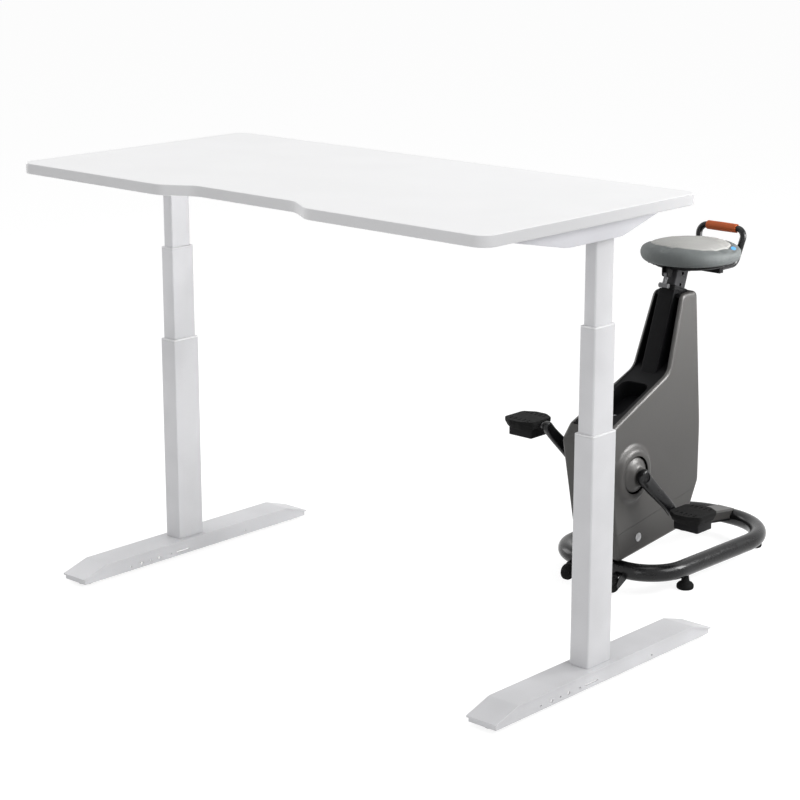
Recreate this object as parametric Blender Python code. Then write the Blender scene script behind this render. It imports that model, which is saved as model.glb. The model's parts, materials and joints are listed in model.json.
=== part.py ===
"""Height-adjustable desk and the bike trainer that stands behind it.

Run with blender --background --python part.py, or from the text editor.
Metres, +Z up. X runs along the desk's long edge and the person at the desk stands at -Y.
The origin is on the floor, under the middle of the whole set.
"""
import math

import bmesh
import bpy
from mathutils import Matrix, Vector

# Clearances
GAP = 0.0003
PANEL_GAP = 0.0006
RUNNING = 0.0003

# Desk board
BOARD_WIDTH = 1.400
BOARD_DEPTH = 0.700
BOARD_THICK = 0.025
BOARD_TOP = 1.033
BOARD_CORNER = 0.035
BOARD_EDGE = 0.003
NOTCH_WIDTH = 0.300
NOTCH_DEPTH = 0.045
NOTCH_RUN = 0.074
NOTCH_ROUND = 0.060

# Desk columns: each stage is a rectangular tube, wide along Y
COLUMN_INSET = 0.054
COLUMN_BACK = 0.076
STAGE_OUTER = (0.050, 0.080)
STAGE_MIDDLE = (0.040, 0.070)
STAGE_INNER = (0.030, 0.060)
STAGE_WALL = 0.0018
STAGE_ROUND = 0.004
OUTER_TOP = 0.554
MIDDLE_TOP = 0.783
MIDDLE_LENGTH = 0.500
INNER_LENGTH = 0.470
COLLAR_LIP = 0.0035
GUIDE_LENGTH = 0.045
SPINDLE_RADIUS = 0.007
SPINDLE_LENGTH = 0.440

# Desk feet
FOOT_TOP = 0.045
FOOT_WIDTH = 0.079
FOOT_FRONT = 0.360
FOOT_REAR = 0.396
FOOT_SLOPE = 0.072
FOOT_TIP_TOP = 0.023
FOOT_CLEAR = 0.009
FOOT_LIP = 0.004
FOOT_LIP_OUT = 0.003
FOOT_WALL = 0.0025
GLIDE_RADIUS = 0.019
GLIDE_INSET = 0.036
GLIDE_STEM = 0.005

# Desk frame under the board
BRACKET_WIDTH = 0.070
BRACKET_FRONT = 0.330
BRACKET_REAR = 0.158
BRACKET_DEPTH = 0.038
BRACKET_WALL = 0.0025
BRACKET_KEEL_FRONT = 0.150
BRACKET_KEEL_REAR = 0.030
GEARBOX_SIZE = (0.112, 0.090, 0.031)
MOTOR_RADIUS = 0.023
MOTOR_LENGTH = 0.105
CROSSBEAM_SIZE = (0.150, 0.028)
CROSSBEAM_WALL = 0.0020
CONTROL_SIZE = (0.240, 0.095, 0.034)
CONTROL_BACK = 0.240
SOCKET_SIZE = (0.016, 0.010, 0.010)
HANDSET_SIZE = (0.092, 0.062, 0.020)
HANDSET_X = 0.450
HANDSET_BACK = 0.090
SWITCH_SIZE = (0.034, 0.012)
SWITCH_DEPTH = 0.010
SWITCH_PROUD = 0.004
SWITCH_SWING = math.radians(8)

# Where the bike stands: its crank axis, seen from the middle of the desk board
BIKE_X = 0.295
BIKE_BACK = 0.600

# Bike base; Y is counted from the crank axis
RING_TUBE = 0.021
RING_HEIGHT = 0.055
RING_FRONT = -0.019
RING_REAR = 0.505
RING_HALF_FRONT = 0.160
RING_HALF_REAR = 0.170
RING_ROUND_FRONT = 0.100
RING_ROUND_REAR = 0.150
BEAM_WIDTH = 0.050
BEAM_DEPTH = 0.028
BEAM_WALL = 0.0025
BEAM_ROUND = 0.004
BEAM_TOP = 0.100
BEAM_LEVEL = (-0.030, 0.075)
BEAM_CREST = (0.224, 0.116)
BEAM_TAIL = 0.0755
BEAM_COVER_WALL = 0.0025
BEAM_COVER_START = 0.262
PAD_RADIUS = 0.021
PAD_FRONT = (0.160, 0.100)
PAD_REAR_SPREAD = 0.105
WHEEL_RADIUS = 0.020
WHEEL_WIDTH = 0.018
WHEEL_LIFT = 0.012
WHEEL_SPREAD = 0.068
WHEEL_CLEAR = 0.013
WHEEL_PIN = 0.004
FORK_THICK = 0.003
FORK_CLEAR = 0.0008

# Bike body
HUB_HEIGHT = 0.290
BODY_HALF = 0.066
BODY_HALF_TOP = 0.044
BODY_TAPER_FROM = 0.360
BODY_TOP = 0.690
BODY_REAR = 0.278
BODY_ROUND = 0.009
BODY_WALL = 0.003
BEND_HEIGHT = 0.508
DECK_FRONT = (-0.080, 0.412)
NOSE = (-0.106, 0.378)
CHIN = (-0.042, 0.0788)
KEEL = (0.224, 0.108)
TAIL_HEIGHT = 0.216
SEAM_FRONT = 0.139
SEAM_RISE = 0.162
RIM_WIDTH = 0.008
BULGE_RADIUS = 0.086
BULGE_TOP_RADIUS = 0.053
BULGE_HEIGHT = 0.013
HUB_HOLE = 0.0465

# Seat mast and front panel; the mast leans back by SEAT_LEAN
SEAT_LEAN = math.radians(19)
MAST_TOP_Y = 0.240
MAST_SIZE = (0.040, 0.056)
MAST_WALL = 0.003
POST_SIZE = (0.030, 0.047)
POST_LENGTH = 0.330
POST_WALL = 0.003
POST_TOP = 0.752
POST_HOLE = 0.0042
POST_HOLE_START = 0.022
POST_HOLE_PITCH = 0.028
POST_HOLES = 5
COLLAR_SIZE = (0.043, 0.059)
COLLAR_HEIGHT = 0.010
COLLAR_RECESS = 0.003
COLLAR_BUSH = 0.040
RIM_AHEAD = 0.023
RIB_AHEAD = 0.008
RIB_BELOW = 0.018
RIB_WALL = 0.0025
PANEL_SINK = 0.002
PANEL_THICK = 0.003
GROOVE_DEPTH = 0.036
GROOVE_WALL = 0.002
WELL_START = 0.056
WELL_LENGTH = 0.138
WELL_HALF = 0.040
WELL_DEPTH = 0.046
WELL_ROUND = 0.022
KNOB_RADIUS = 0.017
KNOB_HEIGHT = 0.016
KNOB_STEM = 0.004

# Drive
AXLE_RADIUS = 0.0085
SHELL_BORE = 0.0175
SHELL_OUTER = 0.0220
SHELL_HALF = 0.030
BEARING_WIDTH = 0.012
PULLEY_RADIUS = 0.062
PULLEY_FROM = 0.036
PULLEY_WIDTH = 0.014
SMALL_PULLEY_RADIUS = 0.012
BELT_THICK = 0.0025
FLYWHEEL_CENTRE = (0.180, 0.270)
FLYWHEEL_RADIUS = 0.088
FLYWHEEL_WIDTH = 0.020
FLYWHEEL_FROM = -0.057
FLYWHEEL_SHAFT = 0.008
FLYWHEEL_BOSS = 0.015
GUSSET_THICK = 0.006
MAGNET_PIVOT_HEIGHT = 0.150
MAGNET_PIN = 0.004
MAGNET_GAP = 0.003
MAGNET_THICK = 0.010
MAGNET_ARC = (222, 292)

# Cranks and pedals
CRANK_LENGTH = 0.128
CRANK_ANGLE = math.radians(-50)
HUB_COVER_RADIUS = 0.0445
HUB_COVER_FROM = 0.070
HUB_COVER_DEPTH = 0.020
CRANK_FROM = 0.0905
CRANK_THICK = 0.020
CRANK_SWEEP = 0.026
CRANK_BOSS = 0.020
CRANK_END = 0.015
SPINDLE_END = 0.0055
PEDAL_FROM = 0.006
PEDAL_WIDTH = 0.090
PEDAL_LENGTH = 0.105
PEDAL_THICK = 0.022
PEDAL_TOP = 0.014
PEDAL_POINT = 0.018
PEDAL_WEIGHT = (0.070, 0.060, 0.022)
PEDAL_SLOTS = 5

# Seat
SEAT_CENTRE = 0.303
SEAT_BOTTOM = 0.752
SEAT_THICK = 0.050
SEAT_HALF_WIDTH = 0.122
SEAT_HALF_LENGTH = 0.125
SEAT_DIP = 0.006
PAN_THICK = 0.007
PAN_CROWN = 0.0036
PAN_INSET = 0.032
SOCKET_WALL = 0.004
SOCKET_LENGTH = 0.012
HANDLE_TUBE = 0.008
HANDLE_HALF = 0.068
HANDLE_FOOT = (0.056, 0.114)
HANDLE_RUN = 0.080
HANDLE_BACK = 0.136
HANDLE_TOP = 0.820
HANDLE_BEND = 0.0205
BRIDGE_DEPTH = 0.016
BRIDGE_WALL = 0.003
GRIP_HALF = 0.0435
GRIP_THICK = 0.0042
LEVER_PIN = 0.003
LEVER_HALF = 0.0055
LEVER_AHEAD = 0.024

# Places that follow from the sizes
BOARD_UNDER = BOARD_TOP - BOARD_THICK
COLUMN_X = BOARD_WIDTH / 2 - COLUMN_INSET
RING_REACH = BIKE_BACK + RING_REAR + RING_TUBE
DESK_Y = (BOARD_DEPTH / 2 - RING_REACH) / 2
SEAT_UP = Vector((0, math.sin(SEAT_LEAN), math.cos(SEAT_LEAN)))
SEAT_AHEAD = Vector((0, -math.cos(SEAT_LEAN), math.sin(SEAT_LEAN)))
MAST_TOP = Vector((0, MAST_TOP_Y, BODY_TOP))
BEND_Y = MAST_TOP_Y - RIM_AHEAD / math.cos(SEAT_LEAN) - (BODY_TOP - BEND_HEIGHT) * math.tan(SEAT_LEAN)
BROW_Y = MAST_TOP_Y - RIM_AHEAD / math.cos(SEAT_LEAN)

# The -X side is on the left of the person at the desk
SIDES = ((-1, "left"), (1, "right"))

# Frames for outlines: the first two axes hold the outline, the third is the direction it is extruded in
FLAT = Matrix.Identity(4)
SIDE = Matrix(((0, 0, 1, 0), (1, 0, 0, 0), (0, 1, 0, 0), (0, 0, 0, 1)))
FRONT = Matrix(((1, 0, 0, 0), (0, 0, -1, 0), (0, 1, 0, 0), (0, 0, 0, 1)))
SEAT_FRAME = Matrix((
    (1, 0, 0, 0),
    (0, -math.cos(SEAT_LEAN), math.sin(SEAT_LEAN), MAST_TOP_Y),
    (0, math.sin(SEAT_LEAN), math.cos(SEAT_LEAN), BODY_TOP),
    (0, 0, 0, 1)))

FINISHES = {
    "board_white": ((0.90, 0.90, 0.90), 0.45, 0.0),
    "frame_silver": ((0.70, 0.70, 0.72), 0.38, 0.3),
    "frame_white": ((0.86, 0.86, 0.87), 0.40, 0.0),
    "guide_plastic": ((0.80, 0.80, 0.80), 0.50, 0.0),
    "black_plastic": ((0.025, 0.025, 0.027), 0.55, 0.0),
    "black_rubber": ((0.02, 0.02, 0.02), 0.80, 0.0),
    "black_steel": ((0.04, 0.042, 0.045), 0.40, 0.2),
    "graphite_shell": ((0.16, 0.155, 0.15), 0.42, 0.4),
    "panel_plastic": ((0.05, 0.055, 0.06), 0.45, 0.0),
    "knob_grey": ((0.45, 0.46, 0.47), 0.45, 0.0),
    "machined_steel": ((0.55, 0.55, 0.56), 0.30, 1.0),
    "cast_iron": ((0.22, 0.22, 0.23), 0.50, 0.9),
    "seat_skin": ((0.36, 0.38, 0.37), 0.55, 0.0),
    "grip_tan": ((0.50, 0.17, 0.05), 0.50, 0.0),
}


def clear_scene():
    for item in list(bpy.data.objects):
        bpy.data.objects.remove(item, do_unlink=True)


def empty(name, location, parent=None):
    """A named place that pieces hang from, set on the joint axis of what it carries."""
    place = bpy.data.objects.new(name, None)
    place.location = location
    place.parent = parent
    bpy.context.collection.objects.link(place)
    return place


def finish(item, slot):
    """Gives the object its own plain material."""
    colour, roughness, metallic = FINISHES[slot]
    paint = bpy.data.materials.new(item.name + "_finish")
    paint.use_nodes = True
    shader = paint.node_tree.nodes["Principled BSDF"]
    shader.inputs["Base Color"].default_value = (*colour, 1.0)
    shader.inputs["Roughness"].default_value = roughness
    shader.inputs["Metallic"].default_value = metallic
    item.data.materials.append(paint)


def piece(name, mesh, slot, home, smooth_below=40):
    """Makes one named object from a mesh that is drawn in its home's axes."""
    bmesh.ops.recalc_face_normals(mesh, faces=mesh.faces)
    data = bpy.data.meshes.new(name)
    mesh.to_mesh(data)
    mesh.free()
    data.shade_smooth()
    data.set_sharp_from_angle(angle=math.radians(smooth_below))
    item = bpy.data.objects.new(name, data)
    item.parent = home
    bpy.context.collection.objects.link(item)
    finish(item, slot)
    return item


def boolean(item, mesh, operation, solver="EXACT"):
    """Adds a Boolean whose hidden partner shares the item's home."""
    bmesh.ops.recalc_face_normals(mesh, faces=mesh.faces)
    data = bpy.data.meshes.new(item.name + "_tool")
    mesh.to_mesh(data)
    mesh.free()
    tool = bpy.data.objects.new(item.name + "_tool", data)
    tool.parent = item.parent
    tool.hide_render = True
    tool.display_type = "WIRE"
    bpy.context.collection.objects.link(tool)
    step = item.modifiers.new(operation.lower(), "BOOLEAN")
    step.operation = operation
    step.solver = solver
    step.object = tool


def cut(item, mesh):
    boolean(item, mesh, "DIFFERENCE")


def fuse(item, mesh):
    boolean(item, mesh, "UNION")


def together(*meshes):
    """One mesh that holds several separate solids."""
    whole = bmesh.new()
    for mesh in meshes:
        part = bpy.data.meshes.new("part")
        mesh.to_mesh(part)
        mesh.free()
        whole.from_mesh(part)
        bpy.data.meshes.remove(part)
    return whole


def arc(centre, radius, start, turn, steps):
    """Points on an arc, both ends included; angles in radians."""
    angles = [start + turn * step / steps for step in range(steps + 1)]
    return [Vector((centre[0] + radius * math.cos(a), centre[1] + radius * math.sin(a))) for a in angles]


def outline(corners, steps=4):
    """Closed outline through (u, v, radius) corners, each rounded by its radius."""
    points = []
    for index, (u, v, radius) in enumerate(corners):
        here = Vector((u, v))
        if radius <= 0:
            points.append(here)
            continue
        back = (Vector(corners[index - 1][:2]) - here).normalized()
        ahead = (Vector(corners[(index + 1) % len(corners)][:2]) - here).normalized()
        half = back.angle(ahead) / 2
        centre = here + (back + ahead).normalized() * (radius / math.sin(half))
        first = here + back * (radius / math.tan(half)) - centre
        last = here + ahead * (radius / math.tan(half)) - centre
        start = math.atan2(first.y, first.x)
        turn = (math.atan2(last.y, last.x) - start + math.pi) % (2 * math.pi) - math.pi
        points += arc(centre, radius, start, turn, steps)
    return points


def shrunk(corners, inset):
    """The corners of an anticlockwise outline, moved inwards by the inset."""
    moved = []
    for index, (u, v, radius) in enumerate(corners):
        here = Vector((u, v))
        back = (here - Vector(corners[index - 1][:2])).normalized()
        ahead = (Vector(corners[(index + 1) % len(corners)][:2]) - here).normalized()
        inward = Vector((-back.y, back.x)) + Vector((-ahead.y, ahead.x))
        reach = inset / (1 + back.dot(ahead))
        bulges = back.x * ahead.y - back.y * ahead.x > 0
        turned_radius = max(radius - inset, 0.001) if bulges else radius + inset
        moved.append((u + inward.x * reach, v + inward.y * reach, turned_radius if radius > 0 else 0))
    return moved


def rectangle(width, height, radius=0.0, centre=(0.0, 0.0), steps=3):
    """Anticlockwise rectangle with rounded corners."""
    u, v = centre
    return outline([
        (u - width / 2, v - height / 2, radius), (u + width / 2, v - height / 2, radius),
        (u + width / 2, v + height / 2, radius), (u - width / 2, v + height / 2, radius)], steps)


def prism(points, frame, low, high):
    """Solid made by extruding an outline along the frame's third axis."""
    mesh = bmesh.new()
    face = mesh.faces.new([mesh.verts.new((u, v, low)) for u, v in points])
    grown = bmesh.ops.extrude_face_region(mesh, geom=[face])["geom"]
    tops = [item for item in grown if isinstance(item, bmesh.types.BMVert)]
    bmesh.ops.translate(mesh, vec=(0, 0, high - low), verts=tops)
    bmesh.ops.transform(mesh, matrix=frame, verts=mesh.verts)
    bmesh.ops.recalc_face_normals(mesh, faces=mesh.faces)
    return mesh


def loft(loops, closed=False):
    """Solid through loops of equally many points, capped at both ends or closed on itself."""
    mesh = bmesh.new()
    rings = [[mesh.verts.new(point) for point in loop] for loop in loops]
    pairs = list(zip(rings, rings[1:]))
    if closed:
        pairs.append((rings[-1], rings[0]))
    for near, far in pairs:
        for index in range(len(near)):
            ahead = (index + 1) % len(near)
            mesh.faces.new((near[index], near[ahead], far[ahead], far[index]))
    if not closed:
        mesh.faces.new(rings[0])
        mesh.faces.new(rings[-1])
    bmesh.ops.recalc_face_normals(mesh, faces=mesh.faces)
    return mesh


def lifted(points, height):
    return [Vector((u, v, height)) for u, v in points]


def sleeve(outer, inner, frame, low, high):
    """Open tube between two outlines of equally many points."""
    loops = [lifted(outer, low), lifted(outer, high), lifted(inner, high), lifted(inner, low)]
    mesh = loft(loops, closed=True)
    bmesh.ops.transform(mesh, matrix=frame, verts=mesh.verts)
    bmesh.ops.recalc_face_normals(mesh, faces=mesh.faces)
    return mesh


def box(size, centre, radius=0.0, segments=2):
    """Block with all its edges rounded by the radius."""
    mesh = bmesh.new()
    matrix = Matrix.Translation(centre) @ Matrix.Diagonal((*size, 1))
    bmesh.ops.create_cube(mesh, size=1, matrix=matrix)
    if radius > 0:
        bmesh.ops.bevel(mesh, geom=mesh.edges[:], offset=radius, segments=segments, profile=0.5,
                        affect="EDGES", clamp_overlap=True)
    return mesh


def turned(profile, frame, steps=24, ring=False):
    """Solid of revolution round the frame's third axis, from (radius, height) points.

    A ring's profile is closed; any other profile starts and ends on the axis.
    """
    mesh = bmesh.new()
    corners = [mesh.verts.new((radius, 0, height)) for radius, height in profile]
    edges = [mesh.edges.new(pair) for pair in zip(corners, corners[1:])]
    if ring:
        edges.append(mesh.edges.new((corners[-1], corners[0])))
    bmesh.ops.spin(mesh, geom=corners + edges, cent=(0, 0, 0), axis=(0, 0, 1), angle=2 * math.pi,
                   steps=steps, use_merge=True)
    bmesh.ops.remove_doubles(mesh, verts=mesh.verts, dist=1e-6)
    flat = [corner for corner in mesh.verts if corner.co.xy.length < 1e-6
            and all(abs(edge.verts[0].co.z - edge.verts[1].co.z) < 1e-6 for edge in corner.link_edges)]
    bmesh.ops.dissolve_verts(mesh, verts=flat)
    bmesh.ops.recalc_face_normals(mesh, faces=mesh.faces)
    bmesh.ops.transform(mesh, matrix=frame, verts=mesh.verts)
    return mesh


def rod(radius, low, high, frame, steps=16):
    return turned([(0, low), (radius, low), (radius, high), (0, high)], frame, steps)


def pipe(outer, inner, low, high, frame, steps=20):
    return turned([(inner, low), (outer, low), (outer, high), (inner, high)], frame, steps, ring=True)


def across(y, z, side=1):
    """Frame whose third axis runs along X, away from the centre plane on the given side."""
    return Matrix.Translation((0, y, z)) @ Matrix.Rotation(side * math.pi / 2, 4, "Y")


def upright(x, y, z=0.0):
    return Matrix.Translation((x, y, z))


def trim(mesh, point, normal):
    """Cuts off what lies beyond a plane and closes the cut."""
    geometry = mesh.verts[:] + mesh.edges[:] + mesh.faces[:]
    bmesh.ops.bisect_plane(mesh, geom=geometry, dist=1e-7, plane_co=point, plane_no=normal, clear_outer=True)
    rim = [edge for edge in mesh.edges if edge.is_boundary]
    bmesh.ops.holes_fill(mesh, edges=rim, sides=0)
    bmesh.ops.recalc_face_normals(mesh, faces=mesh.faces)
    return mesh


def tube_loop(points, radius, sides):
    """Closed tube round a level path; each section stands square to the path."""
    loops = []
    up = Vector((0, 0, radius))
    angles = [2 * math.pi * step / sides for step in range(sides)]
    for index, point in enumerate(points):
        ahead = (points[(index + 1) % len(points)] - points[index - 1]).normalized()
        out = ahead.cross(up)
        loops.append([point + out * math.cos(angle) + up * math.sin(angle) for angle in angles])
    return loft(loops, closed=True)


def bent_tube(name, points, radius, slot, home, resolution=2):
    """Round tube along an open path, as a curve with a bevel and filled caps."""
    curve = bpy.data.curves.new(name, "CURVE")
    curve.dimensions = "3D"
    curve.bevel_depth = radius
    curve.bevel_resolution = resolution
    curve.use_fill_caps = True
    spline = curve.splines.new("POLY")
    spline.points.add(len(points) - 1)
    for place, point in zip(spline.points, points):
        place.co = (*point, 1)
    item = bpy.data.objects.new(name, curve)
    item.parent = home
    bpy.context.collection.objects.link(item)
    finish(item, slot)
    return item


# Desk


def make_board(home):
    """Board with a shallow hollow in the front edge."""
    half = BOARD_WIDTH / 2
    front = -BOARD_DEPTH / 2
    hollow = NOTCH_WIDTH / 2
    corners = [
        (-half, front, BOARD_CORNER), (-hollow - NOTCH_RUN, front, NOTCH_ROUND),
        (-hollow, front + NOTCH_DEPTH, NOTCH_ROUND), (hollow, front + NOTCH_DEPTH, NOTCH_ROUND),
        (hollow + NOTCH_RUN, front, NOTCH_ROUND), (half, front, BOARD_CORNER),
        (half, -front, BOARD_CORNER), (-half, -front, BOARD_CORNER)]
    low = outline(shrunk(corners, BOARD_EDGE), 5)
    wide = outline(corners, 5)
    mesh = loft([
        lifted(low, BOARD_UNDER), lifted(wide, BOARD_UNDER + BOARD_EDGE),
        lifted(wide, BOARD_TOP - BOARD_EDGE), lifted(low, BOARD_TOP)])
    piece("desktop", mesh, "board_white", home, 50)


def make_bracket(side, word, home):
    """Boat-shaped channel, open below, deepest at the column."""
    top = BOARD_UNDER - GAP
    centre = side * COLUMN_X
    front = COLUMN_BACK - BRACKET_FRONT
    rear = COLUMN_BACK + BRACKET_REAR
    keel = top - BRACKET_DEPTH
    tip = top - BRACKET_WALL
    profile = outline([
        (front, top, 0), (front, tip, 0),
        (COLUMN_BACK - BRACKET_KEEL_FRONT, keel, 0.200),
        (COLUMN_BACK + BRACKET_KEEL_REAR, keel, 0.070),
        (rear, tip, 0), (rear, top, 0)], 6)
    half = BRACKET_WIDTH / 2
    boat = prism(profile, SIDE, centre - half, centre + half)
    bracket = piece("side_bracket_" + word, boat, "frame_white", home)
    inside = BRACKET_WIDTH - 2 * BRACKET_WALL
    long = 2 * (BRACKET_FRONT + BRACKET_REAR)
    hollow = top - BRACKET_WALL - BRACKET_DEPTH
    cut(bracket, box((inside, long, 2 * BRACKET_DEPTH), (centre, COLUMN_BACK, hollow)))
    window = (BRACKET_WIDTH, GEARBOX_SIZE[1] + 2 * GAP, 2 * BRACKET_DEPTH)
    cut(bracket, box(window, (centre - side * half, COLUMN_BACK, hollow)))


def gearbox_span(side):
    """X of the gearbox's outer and inner end; it hangs under the bracket's flange."""
    outer = side * (COLUMN_X + BRACKET_WIDTH / 2 - BRACKET_WALL - GAP)
    return outer, outer - side * GEARBOX_SIZE[0]


def gearbox_top():
    return BOARD_UNDER - GAP - BRACKET_WALL - GAP


def make_gearbox(side, word, home):
    """Gearbox on top of the inner tube, with the lifting spindle that hangs from it inside the tube."""
    outer, inner = gearbox_span(side)
    length, depth, height = GEARBOX_SIZE
    low = gearbox_top() - height
    middle = ((outer + inner) / 2, COLUMN_BACK, low + height / 2)
    gearbox = piece("gearbox_" + word, box((length, depth, height), middle, 0.004, 2), "black_plastic", home)
    axis = upright(side * COLUMN_X, COLUMN_BACK)
    fuse(gearbox, rod(SPINDLE_RADIUS, low - SPINDLE_LENGTH, low + height / 2, axis, 12))


def make_motor(side, word, home):
    """Round motor that lies inboard of the gearbox, with a stepped end cap."""
    inner = gearbox_span(side)[1]
    height = gearbox_top() - MOTOR_RADIUS
    start = abs(inner) - GAP
    end = start - MOTOR_LENGTH
    cap = 0.008
    profile = [
        (0, end), (MOTOR_RADIUS * 0.45, end), (MOTOR_RADIUS * 0.45, end + cap / 2),
        (MOTOR_RADIUS * 0.92, end + cap / 2), (MOTOR_RADIUS, end + cap), (MOTOR_RADIUS, start - cap),
        (MOTOR_RADIUS * 0.85, start - cap), (MOTOR_RADIUS * 0.85, start), (0, start)]
    mesh = turned(profile, across(COLUMN_BACK, height, side), 20)
    piece("motor_" + word, mesh, "black_steel", home)


def make_crossbeam(home):
    """Folded channel between the brackets, open below, with the motors lying in its two ends."""
    end = COLUMN_X - BRACKET_WIDTH / 2 - GAP
    width, height = CROSSBEAM_SIZE
    top = BOARD_UNDER - GAP
    half = width / 2
    front, rear = COLUMN_BACK - half, COLUMN_BACK + half
    wall = CROSSBEAM_WALL
    profile = outline([
        (front, top - height, 0), (front + wall, top - height, 0), (front + wall, top - wall, 0.002),
        (rear - wall, top - wall, 0.002), (rear - wall, top - height, 0), (rear, top - height, 0),
        (rear, top, 0.004), (front, top, 0.004)], 2)
    piece("crossbeam", prism(profile, SIDE, -end, end), "frame_white", home)


def stage(size, low, high, centre):
    """One rectangular column tube, open at both ends."""
    outer = rectangle(size[0], size[1], STAGE_ROUND, centre)
    inner = rectangle(size[0] - 2 * STAGE_WALL, size[1] - 2 * STAGE_WALL, STAGE_ROUND / 2, centre)
    return sleeve(outer, inner, FLAT, low, high)


def guide(outside, inside, top, centre):
    """Plastic guide collar: a sleeve between two tubes with a lip over the outer one's end."""
    within = [outside[0] - 2 * (STAGE_WALL + GAP), outside[1] - 2 * (STAGE_WALL + GAP)]
    bore = rectangle(inside[0] + 2 * RUNNING, inside[1] + 2 * RUNNING, STAGE_ROUND, centre)
    body = rectangle(within[0], within[1], STAGE_ROUND, centre)
    lip = rectangle(outside[0], outside[1], STAGE_ROUND, centre)
    bevelled = rectangle(outside[0] - COLLAR_LIP, outside[1] - COLLAR_LIP, STAGE_ROUND, centre)
    low = top - GUIDE_LENGTH
    high = top + COLLAR_LIP
    return loft([
        lifted(bore, low), lifted(body, low), lifted(body, top + GAP), lifted(lip, top + GAP),
        lifted(lip, (top + high) / 2), lifted(bevelled, high), lifted(bore, high)], closed=True)


def make_columns(side, word, home, middle_home, upper_home):
    """Three telescoping tubes of one leg, with a guide collar on each of the two that take another."""
    centre = (side * COLUMN_X, COLUMN_BACK)
    inner_top = gearbox_top() - GEARBOX_SIZE[2] - GAP
    outer = stage(STAGE_OUTER, FOOT_TOP + GAP, OUTER_TOP, centre)
    middle = stage(STAGE_MIDDLE, MIDDLE_TOP - MIDDLE_LENGTH, MIDDLE_TOP, centre)
    inner = stage(STAGE_INNER, inner_top - INNER_LENGTH, inner_top, centre)
    piece("column_outer_" + word, outer, "frame_silver", home)
    piece("column_middle_" + word, middle, "frame_silver", middle_home)
    piece("column_inner_" + word, inner, "frame_silver", upper_home)
    lower_guide = guide(STAGE_OUTER, STAGE_MIDDLE, OUTER_TOP, centre)
    upper_guide = guide(STAGE_MIDDLE, STAGE_INNER, MIDDLE_TOP, centre)
    piece("guide_lower_" + word, lower_guide, "guide_plastic", home)
    piece("guide_upper_" + word, upper_guide, "guide_plastic", middle_home)


def make_foot(side, word, home):
    """Folded foot: an overhanging top plate with sloping ends over an open channel with pierced walls."""
    front = COLUMN_BACK - FOOT_FRONT
    rear = COLUMN_BACK + FOOT_REAR
    centre = side * COLUMN_X
    half = FOOT_WIDTH / 2
    plate = outline([
        (front, FOOT_TIP_TOP - FOOT_LIP, 0), (front + FOOT_SLOPE, FOOT_TOP - FOOT_LIP, 0),
        (rear - FOOT_SLOPE, FOOT_TOP - FOOT_LIP, 0), (rear, FOOT_TIP_TOP - FOOT_LIP, 0),
        (rear, FOOT_TIP_TOP, 0), (rear - FOOT_SLOPE, FOOT_TOP, 0.030),
        (front + FOOT_SLOPE, FOOT_TOP, 0.030), (front, FOOT_TIP_TOP, 0)], 3)
    foot = piece("foot_" + word, prism(plate, SIDE, centre - half, centre + half), "frame_silver", home)
    toe = 0.004
    channel = [
        (front + toe, FOOT_CLEAR), (rear - toe, FOOT_CLEAR),
        (rear - toe, FOOT_TIP_TOP - FOOT_LIP / 2), (rear - FOOT_SLOPE, FOOT_TOP - FOOT_LIP / 2),
        (front + FOOT_SLOPE, FOOT_TOP - FOOT_LIP / 2), (front + toe, FOOT_TIP_TOP - FOOT_LIP / 2)]
    wide = half - FOOT_LIP_OUT
    fuse(foot, prism(channel, SIDE, centre - wide, centre + wide))
    end = toe + FOOT_WALL
    hollow = [
        (front + end, 0), (rear - end, 0), (rear - end, FOOT_TIP_TOP - FOOT_LIP),
        (rear - FOOT_SLOPE, FOOT_TOP - FOOT_LIP), (front + FOOT_SLOPE, FOOT_TOP - FOOT_LIP),
        (front + end, FOOT_TIP_TOP - FOOT_LIP)]
    narrow = wide - FOOT_WALL
    cut(foot, prism(hollow, SIDE, centre - narrow, centre + narrow))
    cut(foot, foot_holes(centre))


def foot_holes(centre):
    """Fixing holes and the slot through both side walls; Y is counted from the column."""
    small, large = 0.0022, 0.0042
    height = FOOT_CLEAR + 0.010
    plain = [(-0.211, small), (-0.175, large), (-0.146, small), (-0.118, large), (-0.080, small),
             (0.175, small)]
    reach = FOOT_WIDTH
    drills = []
    for y, radius in plain:
        axis = upright(centre, 0) @ across(COLUMN_BACK + y, height)
        drills.append(rod(radius, -reach, reach, axis, 8))
    slot = rectangle(0.042, 0.0036, 0.0017, (COLUMN_BACK - 0.040, height), 2)
    drills.append(prism(slot, SIDE, centre - reach, centre + reach))
    return together(*drills)


def make_glides(side, word, home):
    """Round levelling glides of one foot: a rubber pad under a stem that ends at the foot's plate."""
    front = COLUMN_BACK - FOOT_FRONT + GLIDE_INSET
    rear = COLUMN_BACK + FOOT_REAR - GLIDE_INSET
    for place, y in (("front", front), ("rear", rear)):
        rise = (FOOT_TOP - FOOT_TIP_TOP) * (GLIDE_INSET - GLIDE_STEM - FOOT_WALL) / FOOT_SLOPE
        top = FOOT_TIP_TOP - FOOT_LIP + rise - 2 * GAP
        profile = [
            (0, 0), (GLIDE_RADIUS * 0.94, 0), (GLIDE_RADIUS, 0.0015), (GLIDE_RADIUS, 0.0055),
            (GLIDE_RADIUS * 0.8, 0.008), (GLIDE_STEM, 0.008), (GLIDE_STEM, top), (0, top)]
        mesh = turned(profile, upright(side * COLUMN_X, y), 14)
        piece("foot_glide_" + word + "_" + place, mesh, "black_rubber", home)


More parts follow.
